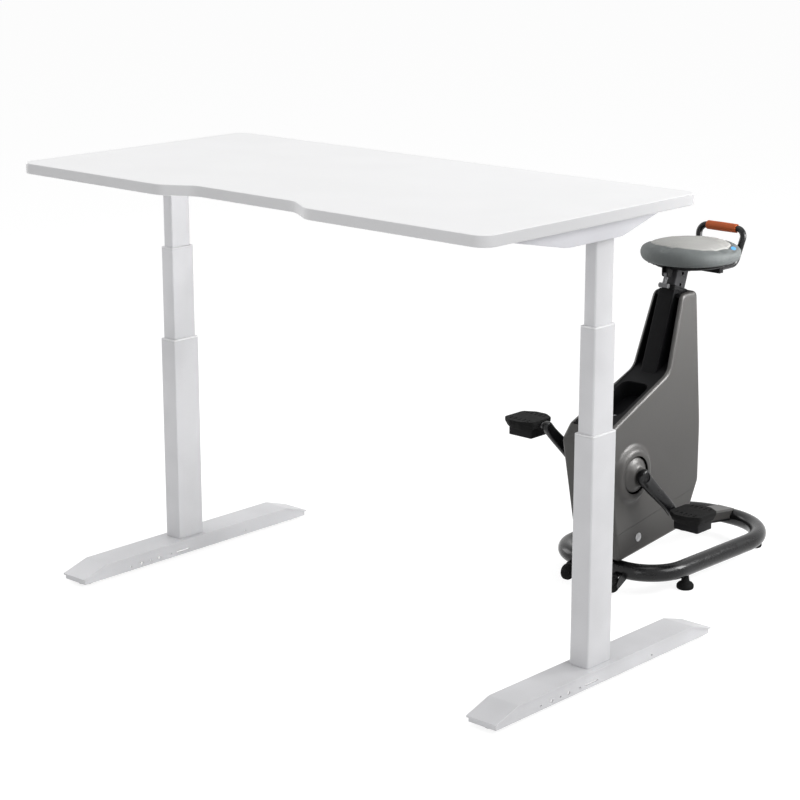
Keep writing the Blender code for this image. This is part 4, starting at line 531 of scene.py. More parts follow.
class Finish(Nodes):
    """A material in the making."""

    def __init__(self, name, metallic=0.0, coat=0.0, coat_roughness=0.1, specular=0.5):
        self.material = bpy.data.materials.new(name + "_finish")
        self.material.use_nodes = True
        super().__init__(self.material.node_tree)
        self.shader = self.tree.nodes["Principled BSDF"]
        for socket, number in (("Metallic", metallic), ("Coat Weight", coat),
                               ("Coat Roughness", coat_roughness), ("Specular IOR Level", specular)):
            self.set(socket, number)
        self.place = self.node("ShaderNodeTexCoord", out="Object")

    def set(self, socket, given):
        self.feed(self.shader.inputs[socket], given)

    def noise(self, scale, detail=3.0, roughness=0.5, stretch=None):
        """Fractal noise from about 0.25 to 0.75 on object coordinates, with a factor for each axis."""
        where = self.place
        if stretch:
            where = self.node("ShaderNodeMapping", {"Vector": where, "Scale": stretch})
        return self.node("ShaderNodeTexNoise", {
            "Vector": where, "Scale": scale, "Detail": detail, "Roughness": roughness})

    def cells(self, scale, feature="F1", smooth=None):
        inputs = {"Vector": self.place, "Scale": scale}
        if smooth is not None:
            inputs["Smoothness"] = smooth
        return self.node("ShaderNodeTexVoronoi", inputs, "Distance", feature=feature)

    def span(self, value, low, high, to_low=0.0, to_high=1.0):
        """Maps a range of values onto another, clamped."""
        return self.node("ShaderNodeMapRange", {"Value": value, "From Min": low, "From Max": high,
                                                "To Min": to_low, "To Max": to_high}, clamp=True)

    def mix(self, first, second, share):
        """Colour between two colours."""
        return self.node("ShaderNodeMix", {0: share, 6: first, 7: second}, 2, data_type="RGBA")

    def shades(self, colour, low, high, share):
        """Colour between two multiples of a colour."""
        return self.mix(scaled(colour, low), scaled(colour, high), share)

    def skin(self, colour, roughness, height, depth):
        """The surface: colour, roughness, and a bump whose height is 1 at the top, in metres of depth."""
        self.set("Base Color", colour)
        self.set("Roughness", roughness)
        bump = {"Height": height, "Distance": depth, "Strength": 1.0}
        self.set("Normal", self.node("ShaderNodeBump", bump))


def scaled(colour, factor):
    return tuple(min(1.0, channel * factor) for channel in colour)


def laminate(name, colour):
    """Matt laminate: a fine pearl structure under a faint sheen, duller in patches."""
    pot = Finish(name, specular=0.35)
    clouds = pot.noise(5)
    pot.skin(pot.shades(colour, 0.985, 1.01, pot.span(clouds, 0.35, 0.65)),
             pot.span(clouds, 0.3, 0.7, 0.42, 0.50), pot.noise(1400, 2), 0.00004)


def powder_coat(name, colour, roughness, metallic=0.0, flake=0.0, texture=0.00005, specular=0.4):
    """Baked powder coat: orange-peel waves with finer grain on them, and a touch of metal flake."""
    pot = Finish(name, metallic=metallic, specular=specular)
    peel, grain, drift = pot.noise(650, 2), pot.noise(2600, 1), pot.noise(7, 2)
    mottle = grain * 0.6 + pot.span(drift, 0.3, 0.7) * 0.4
    pot.skin(pot.shades(colour, 0.96 - flake, 1.03 + flake, pot.span(mottle, 0.35, 0.65)),
             pot.span(peel, 0.3, 0.7, roughness - 0.04, roughness + 0.05), peel * 0.7 + grain * 0.3, texture)


def shell_paint(name, colour):
    """Satin metallic paint on plastic: fine flakes that brighten and dull in turn under a thin clear coat."""
    pot = Finish(name, metallic=0.35, coat=0.10, coat_roughness=0.30, specular=0.35)
    cloud = pot.noise(6)
    spark = pot.span(pot.cells(2600), 0.15, 0.75) * 0.8 + pot.span(cloud, 0.3, 0.7) * 0.2
    pot.skin(pot.shades(colour, 1.12, 0.90, spark),
             pot.span(cloud, 0.3, 0.7, 0.39, 0.47), pot.noise(900, 2), 0.00003)


def moulded(name, colour, roughness, grain=1100, depth=0.00006, specular=0.35):
    """Moulded plastic: spark-eroded grain, a little paler where it is handled."""
    pot = Finish(name, specular=specular)
    patches = pot.noise(18, 4)
    pot.skin(pot.shades(colour, 1, 1.35, pot.span(patches, 0.45, 0.75, 0.0, 0.6)),
             pot.span(patches, 0.3, 0.7, roughness - 0.05, roughness + 0.06),
             pot.cells(grain, "SMOOTH_F1", 0.6), depth)


def rubber(name, colour):
    """Matt rubber with a dusty bloom and a fine pitted skin."""
    pot = Finish(name, specular=0.12)
    bloom = pot.noise(40, 5, 0.6)
    pot.skin(pot.shades(colour, 1, 2.2, pot.span(bloom, 0.5, 0.8, 0.0, 0.5)),
             pot.span(bloom, 0.3, 0.7, 0.70, 0.84), pot.noise(1800, 2), 0.00008)


def gloss_black(name, colour):
    """Stoved black enamel: long, shallow waves and dust nibs, duller where it was rubbed."""
    pot = Finish(name, coat=0.20, coat_roughness=0.14, specular=0.22)
    rub = pot.noise(24, 5, 0.6)
    nibs = pot.span(pot.cells(900), 0.0, 0.12, 0.2, 0.0)
    pot.skin(pot.shades(colour, 1, 1.8, pot.span(rub, 0.5, 0.8, 0.0, 0.7)),
             pot.span(rub, 0.35, 0.7, 0.22, 0.36), pot.noise(160, 2) * 0.8 + nibs, 0.00006)


def steel(name, colour, roughness, streak, scale=300, depth=0.00002):
    """Bare metal whose tool marks run along one axis, with faint staining."""
    pot = Finish(name, metallic=1.0)
    marks, stains = pot.noise(scale, stretch=streak), pot.noise(30, 4)
    pot.skin(pot.shades(colour, 0.85, 1.08, pot.span(marks * 0.6 + stains * 0.4, 0.35, 0.65)),
             pot.span(marks * 0.5 + stains * 0.5, 0.35, 0.65, roughness - 0.06, roughness + 0.10),
             marks, depth)


def leather(name, colour, top=None, pebble=850, depth=0.00014, roughness=0.52):
    """Artificial leather: pebbles from two cell patterns, with painted shade darkening their creases.

    With a top colour, the piece's seam_away attribute paints the top panel in it, and with seam_run it lays
    a row of stitches 4 mm apart beside the seam.
    """
    pot = Finish(name, specular=0.35)
    coarse, fine = (pot.cells(scale, "DISTANCE_TO_EDGE") for scale in (pebble, pebble * 2.3))
    height = pot.span(coarse, 0.0, 0.22) * 0.7 + pot.span(fine, 0.0, 0.25) * 0.3
    cloud = pot.span(pot.noise(14, 4), 0.35, 0.65)
    body = pot.shades(colour, 0.94, 1.06, cloud)
    if top is not None:
        away, run = (pot.node("ShaderNodeAttribute", out="Fac", attribute_name=word)
                     for word in ("seam_away", "seam_run"))
        body = pot.mix(body, pot.shades(top, 0.96, 1.04, cloud), pot.span(away, -0.0003, 0.0003))
        beside, step = (away - STITCH_AT).through("ABSOLUTE"), (run * STITCHES).through("FRACT")
        stitch = pot.span(beside, 0.0004, 0.0008, 1.0, 0.0) * pot.span(step, 0.60, 0.68, 1.0, 0.0)
        body = pot.mix(body, scaled(top, 1.25), stitch * 0.8)
        height = height * 0.6 + stitch * 1.2
    # The pebbles' creases are mixed towards near black: painted shade
    pot.skin(pot.mix(pot.mix(body, (0.03, 0.03, 0.03), 0.22), body, pot.span(height, 0.0, 0.6)),
             pot.span(height, 0.2, 0.9, roughness + 0.12, roughness), height, depth)


def woven(name, colour):
    """Dust cloth: a plain weave of two crossed sets of threads 0.6 mm apart, with loose fibres."""
    pot = Finish(name, specular=0.15)
    wave = {"Vector": pot.place, "Scale": 500.0, "Distortion": 0.8}
    warp, weft = (pot.node("ShaderNodeTexWave", wave, "Fac", bands_direction=way, wave_profile="SIN")
                  for way in ("X", "Y"))
    threads = warp * weft
    share = pot.span(threads * 0.7 + pot.noise(220, 4) * 0.3, 0.1, 0.8)
    pot.skin(pot.shades(colour, 0.5, 1.6, share), 0.85, threads, 0.00012)


# Settings


def colour(name, description, default):
    return FloatVectorProperty(name=name, description=description, default=default, subtype="COLOR",
                               min=0, max=1)


def length(name, description, default, low, high):
    return FloatProperty(name=name, description=description, default=default, min=low, max=high,
                         unit="LENGTH")


class DeskSettings(bpy.types.PropertyGroup):
    """Sizes and colours of the desk's looks."""
    board_edge: length("Board edge", "Radius of the board's edges", 0.0030, 0.0005, 0.01)
    board_colour: colour("Board", "Colour of the laminate", (0.88, 0.88, 0.885))
    # Darker than the board: the edge band's colour paints the shade that falls on the board's sides
    edge_shade_colour: colour("Edge band", "Colour of the board's edge band", (0.66, 0.66, 0.67))
    silver_colour: colour("Silver frame", "Colour of the powder-coated legs", (0.64, 0.64, 0.655))
    white_colour: colour("White frame", "Colour of the frame under the board", (0.64, 0.64, 0.67))


class BikeSettings(bpy.types.PropertyGroup):
    """Sizes and colours of the bike trainer's looks."""
    shell_colour: colour("Shells", "Colour of the metallic paint", (0.054, 0.052, 0.050))
    seat_colour: colour("Seat sides", "Colour of the seat's side band", (0.108, 0.118, 0.117))
    seat_top_colour: colour("Seat top", "Colour of the seat's top panel", (0.335, 0.333, 0.319))
    grip_colour: colour("Grip", "Colour of the handle's grip", (0.40, 0.074, 0.010))
    bulge_radius: length("Bulge", "Radius of the swelling's foot round the crank", 0.077, 0.06, 0.086)
    cushion_swell: length("Cushion swell", "Farthest that the padding may swell", 0.004, 0, 0.02)


class StageSettings(bpy.types.PropertyGroup):
    """Floor and light."""
    floor_colour: colour("Floor", "Colour of the floor", (0.80, 0.80, 0.80))
    key_power: FloatProperty(name="Key light", description="Power of the light at the right", default=104.0,
                             min=0, unit="POWER")
    sky_strength: FloatProperty(name="Sky", description="Strength of the even light from all round",
                                default=0.44, min=0)


def settings(name):
    return getattr(bpy.context.scene, "trainer_desk_" + name)


class Finishes(bpy.types.Operator):
    """Makes every finish, named after the material slot that it stands for."""
    bl_idname = "trainer_desk.finishes"
    bl_label = "Finishes"

    def execute(self, context):
        desk, bike = settings("desk"), settings("bike")
        laminate("board_white", desk.board_colour)
        # The board's sides take this darker laminate as painted shade
        laminate("board_edge", desk.edge_shade_colour)
        powder_coat("frame_silver", desk.silver_colour, 0.42, 0.12, 0.02)
        powder_coat("frame_white", desk.white_colour, 0.45)
        moulded("guide_plastic", (0.76, 0.76, 0.77), 0.5, 1500, 0.00003)
        moulded("black_plastic", (0.006, 0.006, 0.0065), 0.46, specular=0.11)
        rubber("black_rubber", (0.005, 0.005, 0.005))
        powder_coat("black_steel", (0.008, 0.008, 0.009), 0.26, 0.0, 0.05, 0.00006, 0.30)
        gloss_black("black_enamel", (0.004, 0.004, 0.0045))
        powder_coat("post_steel", (0.040, 0.040, 0.042), 0.34, 0.5, 0.03, 0.00003, 0.15)
        shell_paint("graphite_shell", bike.shell_colour)
        moulded("panel_plastic", (0.0045, 0.0045, 0.005), 0.52, 1600, 0.00004, 0.07)
        moulded("knob_grey", (0.36, 0.37, 0.38), 0.42, 1500, 0.00004)
        steel("machined_steel", (0.50, 0.50, 0.51), 0.30, (1, 12, 12))
        steel("dark_steel", (0.13, 0.13, 0.135), 0.32, (1, 10, 10))
        steel("cast_iron", (0.20, 0.20, 0.21), 0.48, (1, 1, 1), 500, 0.0001)
        leather("seat_skin", bike.seat_colour, bike.seat_top_colour)
        leather("grip_tan", bike.grip_colour, None, 1300, 0.00010, 0.58)
        woven("dust_cloth", (0.010, 0.010, 0.010))
        moulded("label_blue", (0.045, 0.23, 0.50), 0.38, 1700, 0.00002)
        return {"FINISHED"}


class Board(bpy.types.Operator):
    """Desk board: one slab whose edges follow a quarter round."""
    bl_idname = "trainer_desk.board"
    bl_label = "Board"

    def execute(self, context):
        half, front, rear = BOARD_HIGH.x, BOARD_LOW.y, BOARD_HIGH.y
        deep = front + HOLLOW_DEEP
        corners = [(-half, front, BOARD_CORNER), (-HOLLOW_WIDE, front, HOLLOW_ROUND),
                   (-HOLLOW_NARROW, deep, HOLLOW_ROUND), (HOLLOW_NARROW, deep, HOLLOW_ROUND),
                   (HOLLOW_WIDE, front, HOLLOW_ROUND), (half, front, BOARD_CORNER),
                   (half, rear, BOARD_CORNER), (-half, rear, BOARD_CORNER)]
        data = slab("desktop_fine", spaced(rounded(corners, 24)[0], 1400), Matrix.Identity(4), BOARD_LOW.z,
                    BOARD_HIGH.z, settings("desk").board_edge, 5)
        item = add(data, "board_white", ("desktop",), smooth_below=40)
        data.materials.append(look("board_edge"))
        # Faces that stand up from the board, its sides, get the darker edge finish: painted shade
        on_shaded_side = np.abs(vectors_of(data.polygons, "normal")[:, 2]) < 0.6
        data.polygons.foreach_set("material_index", on_shaded_side.astype(np.int32))
        modified(item, "normals", "WEIGHTED_NORMAL", keep_sharp=True)
        return {"FINISHED"}


class Columns(bpy.types.Operator):
    """Three telescoping tubes and two guide collars for each leg, with rounded corners and rims."""
    bl_idname = "trainer_desk.columns"
    bl_label = "Columns"

    def execute(self, context):
        for word in ("left", "right"):
            for stage in ("outer", "middle", "inner"):
                self.tube("column_" + stage + "_" + word)
            self.collar("guide_lower_" + word, "column_outer_" + word)
            self.collar("guide_upper_" + word, "column_middle_" + word)
        return {"FINISHED"}

    def tube(self, node):
        low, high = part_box(node)
        outer, inner = rectangle(low, high, TUBE_ROUND), rectangle(low, high, TUBE_ROUND_INSIDE, TUBE_WALL)
        data = tube_of(node + "_fine", outer, inner, Matrix.Identity(4), low.z, high.z, TUBE_RIM)
        add(data, "frame_silver", (node,), smooth_below=40)

    def collar(self, node, tube):
        """Lip over the tube's end, with a rounded rim, and the sleeve inside the tube."""
        low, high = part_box(node)
        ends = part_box(tube)
        seat = ends[1].z + COLLAR_GAP
        bore, sleeve, lip = (rectangle(*ends, radius, inset) for radius, inset in (
            (TUBE_ROUND, COLLAR_WALL - COLLAR_GAP), (SLEEVE_ROUND, TUBE_WALL + COLLAR_GAP), (TUBE_ROUND, 0)))
        rows = [(bore, low.z), (sleeve, low.z), (sleeve, seat), (lip, seat)]
        rows += [(lip - outward(lip) * inset, high.z - depth)
                 for inset, depth in reversed(list(zip(*quarter(COLLAR_RIM, 3))))]
        loops = [level(flat, height) for flat, height in (*rows, (bore, high.z))]
        data = tidied(surface(node + "_fine", np.array(loops), along=True))
        add(data, "guide_plastic", (node,), smooth_below=40)


class DeskFrame(bpy.types.Operator):
    """Brackets, crossbeam, gearboxes, motors, feet and the electric parts, with eased edges."""
    bl_idname = "trainer_desk.desk_frame"
    bl_label = "Desk frame"

    def execute(self, context):
        for word in ("left", "right"):
            softened("side_bracket_" + word, "frame_white", 0.0008)
            softened("gearbox_" + word, "black_plastic", 0.0008)
            softened("foot_" + word, "frame_silver", 0.0006)
            softened("motor_" + word, "black_steel", 0.0006)
        softened("crossbeam", "frame_white", 0.0006)
        softened("control_box", "black_plastic", 0.0008)
        softened("handset", "black_plastic", 0.0008)
        softened("lift_switch", "knob_grey", 0.0005)
        return {"FINISHED"}


class Glides(bpy.types.Operator):
    """Levelling glides of the desk and pads of the bike: turned, with rounded rims."""
    bl_idname = "trainer_desk.glides"
    bl_label = "Glides and pads"

    PROFILES = {
        "foot_glide_": ((0, 0), (0.0178, 0), (0.019, 0.0015), (0.019, 0.0055), (0.0152, 0.008),
                        (0.005, 0.008), (0.005, None), (0, None)),
        "levelling_pad_": ((0, 0), (0.0189, 0), (0.021, 0.003), (0.021, 0.010), (0.0172, 0.015),
                           (0.0105, 0.018), (0.0080, None), (0, None))}

    def execute(self, context):
        for word in ("left_front", "left_rear", "right_front", "right_rear"):
            for stem, profile in self.PROFILES.items():
                self.glide(stem + word, profile)
        return {"FINISHED"}

    def glide(self, node, profile):
        """Turns the profile, whose open heights are the CAD node's top."""
        low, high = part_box(node)
        profile = [(radius, high.z if height is None else height) for radius, height in profile]
        place = Matrix.Translation(((low.x + high.x) / 2, (low.y + high.y) / 2, 0))
        add(softly_turned(node + "_fine", profile, 0.0016, place, 48), "black_rubber", (node,))


class Body(bpy.types.Operator):
    """Side shells and lower cover: one smooth skin for each half, cut along the seam and given its wall."""
    bl_idname = "trainer_desk.body"
    bl_label = "Body"

    RUNS = 200, 112

    def half_width(self, z):
        """Half of the body's width: level below the taper, then falling evenly, with the crease eased."""
        slope = (BODY_HALF - BODY_HALF_TOP) / (BODY_TOP - TAPER_FROM)
        above = z - TAPER_FROM
        ease = 0.030
        fall = np.where(above < -ease, 0, np.where(above > ease, above, (above + ease) ** 2 / (4 * ease)))
        return BODY_HALF - slope * fall

    def swelling(self, y, z):
        """Rise of the side from the foot circle to the crown: 6 s^5 - 15 s^4 + 10 s^3 of the way s."""
        foot = settings("bike").bulge_radius
        share = np.clip((foot - np.hypot(y, z - CRANK.z)) / (foot - SWELL_CROWN), 0, 1)
        return SWELL_RISE * share ** 3 * (6 * share ** 2 - 15 * share + 10)

    def runs(self):
        """The outline's four runs between the middles of its corners: bottom, rear, top and front.

        Front and rear are sampled at paired heights, so straight rows between them stay inside the body.
        """
        points, middle = rounded([CHIN, KEEL, TAIL, TOP_REAR, BROW, BEND, DECK_FRONT, NOSE], 24)
        closed = np.vstack([points, points])
        bottom, rear, top = (closed[middle[first]:middle[last] + 1]
                             for first, last in ((0, 1), (1, 3), (3, 4)))
        front = closed[middle[4]:middle[0] + len(points) + 1]
        long, wide = self.RUNS
        height, knots = np.linspace(0, 1, long), (0, 0.385, 0.44, 0.70, 1)
        rear = spaced(rear, long, False, np.interp(height, knots, (0, 0.445, 0.487, 0.68, 1)))
        front = spaced(front[::-1], long, False, np.interp(height, knots, (0, 0.385, 0.44, 0.757, 1)))
        return spaced(bottom, wide, False), rear, spaced(top[::-1], wide, False), front

    def skin(self, side):
        """Half of the body's outer face.

        The side is a patch between the four runs, moved in by the edge radius: straight rows from front to
        rear, plus the bend of the bottom and top runs, which fades with the 24th power of the height share.
        A strip of quarter-round rows joins it to the rim, and one more carries the rim to the middle plane.
        """
        bottom, rear, top, front = self.runs()
        loop = np.vstack([bottom[:-1], rear[:-1], top[::-1][:-1], front[::-1][:-1]])
        normal = outward(loop)
        inner = loop - normal * EDGE_ROUND
        long, wide = self.RUNS
        low = inner[:wide]
        back = inner[wide - 1:wide + long - 1]
        high = inner[wide + long - 2:2 * wide + long - 2][::-1]
        face = np.vstack([inner[2 * wide + long - 3:], inner[:1]])[::-1]
        u = np.linspace(0, 1, wide)[None, :, None]
        v = np.linspace(0, 1, long)[:, None, None]
        patch = (1 - u) * face[:, None] + u * back[:, None]
        for run, share in ((low, 1 - v), (high, v)):
            patch = patch + share ** 24 * (run - (1 - u) * run[0] - u * run[-1])
        y, z = patch[..., 0], patch[..., 1]
        patch = np.stack([self.half_width(z) + self.swelling(y, z), y, z], axis=-1)
        rows = [np.column_stack([np.zeros(len(loop)), loop])]
        for sunk, inset in zip(*quarter(EDGE_ROUND, 6)):
            flat = loop - normal * inset
            rows.append(np.column_stack([self.half_width(flat[:, 1]) - sunk, flat]))
        opened = self.opening(loop)
        keep = np.ones((len(rows) - 1, len(loop)), bool)
        keep[0] = ~(opened & np.roll(opened, -1))
        halves = (("side", patch, False, None), ("rim", np.array(rows), True, keep))
        return [surface(name, grid * (side, 1, 1) + (CRANK.x, CRANK.y, 0), around, keep=mask)
                for name, grid, around, mask in halves]

    def opening(self, loop):
        """True along the deck, up the bend and over the top, where the front panel lies between the rims."""
        y, z = loop[:, 0], loop[:, 1]
        before_bend = y < OPEN_BEND + (z - BEND[1]) * OPEN_LEAN
        return (z > OPEN_FROM) & before_bend | (z > OPEN_SHOULDER) & (y < OPEN_REAR)

    def joined(self, name, parts):
        """One mesh of several open ones, welded, with its faces outwards as seen from the body's middle."""
        mesh = editable(*parts)
        bmesh.ops.remove_doubles(mesh, verts=mesh.verts, dist=1e-5)
        bmesh.ops.recalc_face_normals(mesh, faces=mesh.faces)
        side_face = max(mesh.faces, key=lambda face: abs(face.calc_center_median().x - CRANK.x))
        if side_face.normal.x * (side_face.calc_center_median().x - CRANK.x) < 0:
            bmesh.ops.reverse_faces(mesh, faces=mesh.faces)
        return written(mesh, bpy.data.meshes.new(name))

    def sliced(self, data, point, normal):
        """Takes away what lies on the normal's side of a plane."""
        mesh = editable(data)
        bmesh.ops.bisect_plane(mesh, geom=mesh.verts[:] + mesh.edges[:] + mesh.faces[:], dist=1e-7,
                               plane_co=point, plane_no=normal, clear_outer=True)
        written(mesh, data)

    def walled(self, data, node, cutter):
        """Gives the skin its wall and cuts the hole through it."""
        item = add(data, "graphite_shell", (node,))
        modified(item, "wall", "SOLIDIFY", thickness=WALL, offset=-1)
        eased(carved(item, cutter), 0.0005, 2, 50)

    def execute(self, context):
        seam = Vector((0, CRANK.y, SEAM_AT))
        normal = Vector((0, -SEAM_SLOPE, 1)).normalized()
        for side, word in SIDES:
            data = self.joined("shell_" + word + "_fine", self.skin(side))
            self.sliced(data, seam + normal * SEAM_GAP, -normal)
            self.sliced(data, Vector((CRANK.x + side * SEAM_GAP / 2, 0, 0)), Vector((-side, 0, 0)))
            hub = across(CRANK.x, CRANK.y, CRANK.z, side)
            self.walled(data, "shell_" + word, turned("hole", rod(HUB_HOLE, 0.046, 0.096), hub, 128))
        data = self.joined("lower_cover_fine", self.skin(-1) + self.skin(1))
        self.sliced(data, seam, normal)
        self.walled(data, "lower_cover", block_of("slot", BEAM_SLOT, SIDE_VIEW, -SLOT_HALF, SLOT_HALF))
        badge = [(0, 0), (0.0108, 0), (0.0108, 0.0010), (0.0096, 0.0016), (0.0078, 0.0016), (0.0072, 0.0009),
                 (0, 0.0009)]
        place = across(CRANK.x + BODY_HALF, *BADGE_AT)
        add(softly_turned("cover_disc", badge, 0.0003, place, 48), "machined_steel",
            body=body_of("lower_cover"))
        return {"FINISHED"}


class Panel(bpy.types.Operator):
    """Front panel with its storage well, and the tension knob."""
    bl_idname = "trainer_desk.panel"
    bl_label = "Front panel and knob"

    def execute(self, context):
        softened("front_panel", "panel_plastic", 0.0010, 3, 30)
        softened("tension_knob", "knob_grey", 0.0008, 2, 30)
        return {"FINISHED"}


class Base(bpy.types.Operator):
    """Ring-shaped floor tube with its beam and forks, the beam's cover and the transport wheels."""
    bl_idname = "trainer_desk.base"
    bl_label = "Bike base"

    def ring(self):
        corners = [(-RING["half_front"], RING["front"], RING["round_front"]),
                   (RING["half_front"], RING["front"], RING["round_front"]),
                   (RING["half_rear"], RING["rear"], RING["round_rear"]),
                   (-RING["half_rear"], RING["rear"], RING["round_rear"])]
        path = level(spaced(rounded(corners, 40)[0], 320) + (CRANK.x, CRANK.y), RING["height"])
        return swept("ring", path, RING["tube"], (0, 0, 1), 40, True)

    def beam(self):
        """Channel section, open below, carried along the beam's softened top line."""
        inside = BEAM_HALF - BEAM_WALL
        corners = [(BEAM_HALF, -BEAM_DEPTH, 0), (BEAM_HALF, 0, 0.004), (-BEAM_HALF, 0, 0.004),
                   (-BEAM_HALF, -BEAM_DEPTH, 0), (-inside, -BEAM_DEPTH, 0), (-inside, -BEAM_WALL, 0.002),
                   (inside, -BEAM_WALL, 0.002), (inside, -BEAM_DEPTH, 0)]
        section = rounded(corners, 6)[0]
        line = softened_profile(BEAM_LINE, 0.030, 6)
        grid = np.stack([
            np.broadcast_to(CRANK.x + section[None, :, 0], (len(line), len(section))),
            np.broadcast_to(CRANK.y + line[:, :1], (len(line), len(section))),
            line[:, 1:] + section[None, :, 1]], axis=-1)
        return tidied(surface("beam", grid, ends=(True, True)))

    def fork(self, centre):
        """Two cheeks from the ring's front down to the wheel, and the pin between them."""
        parts = [turned("pin", rod(PIN_RADIUS, -PIN_HALF, PIN_HALF), across(*centre), 24)]
        offset, y, z = centre.x - CRANK.x, centre.y - CRANK.y, centre.z
        turn = RING["round_front"]
        for low, high in ((-CHEEK_FAR, -CHEEK_NEAR), (CHEEK_NEAR, CHEEK_FAR)):
            along = max(0, abs(offset + (low + high) / 2) - RING["half_front"] + turn)
            root = RING["front"] + turn - math.sqrt(turn ** 2 - along ** 2)
            corners = [(y - 0.009, z - 0.009, 0.008), (y + 0.009, z - 0.009, 0.008), (root, 0.045, 0.0001),
                       (root, 0.063, 0.0001), (y + 0.010, 0.049, 0.010)]
            parts.append(block_of("cheek", rounded(corners, 8)[0], SIDE_VIEW, offset + low, offset + high))
        return parts

    def execute(self, context):
        parts = [self.ring(), self.beam()]
        half = [(0.0043, 0.009), (0.009, 0.009), (0.012, 0.0063), (0.017, 0.009), (0.020, 0.0045)]
        profile = [(radius, -height) for radius, height in half] + half[::-1]
        for word in ("left", "right"):
            spot = joint_place("wheel_" + word + "_spin")
            parts += self.fork(spot)
            data = softly_turned("wheel_" + word + "_fine", profile, 0.0012, across(*spot), 56, True)
            add(data, "black_rubber", ("wheel_" + word,))
        data = written(editable(*parts), bpy.data.meshes.new("base_frame_fine"))
        eased(add(data, "black_enamel", ("base_frame",)), 0.0004, 2, 40)
        softened("beam_cover", "graphite_shell", 0.0008)
        return {"FINISHED"}


class Drive(bpy.types.Operator):
    """Frame, bearing, axle, pulley, belt, flywheel and magnet arm inside the body."""
    bl_idname = "trainer_desk.drive"
    bl_label = "Drive"

    def execute(self, context):
        for node, finish in (("main_frame", "black_steel"), ("crank_bearing", "machined_steel"),
                             ("crank_axle", "machined_steel"), ("drive_pulley", "black_plastic"),
                             ("drive_belt", "black_rubber"), ("flywheel", "cast_iron"),
                             ("magnet_arm", "machined_steel")):
            softened(node, finish, 0.0004)
        return {"FINISHED"}


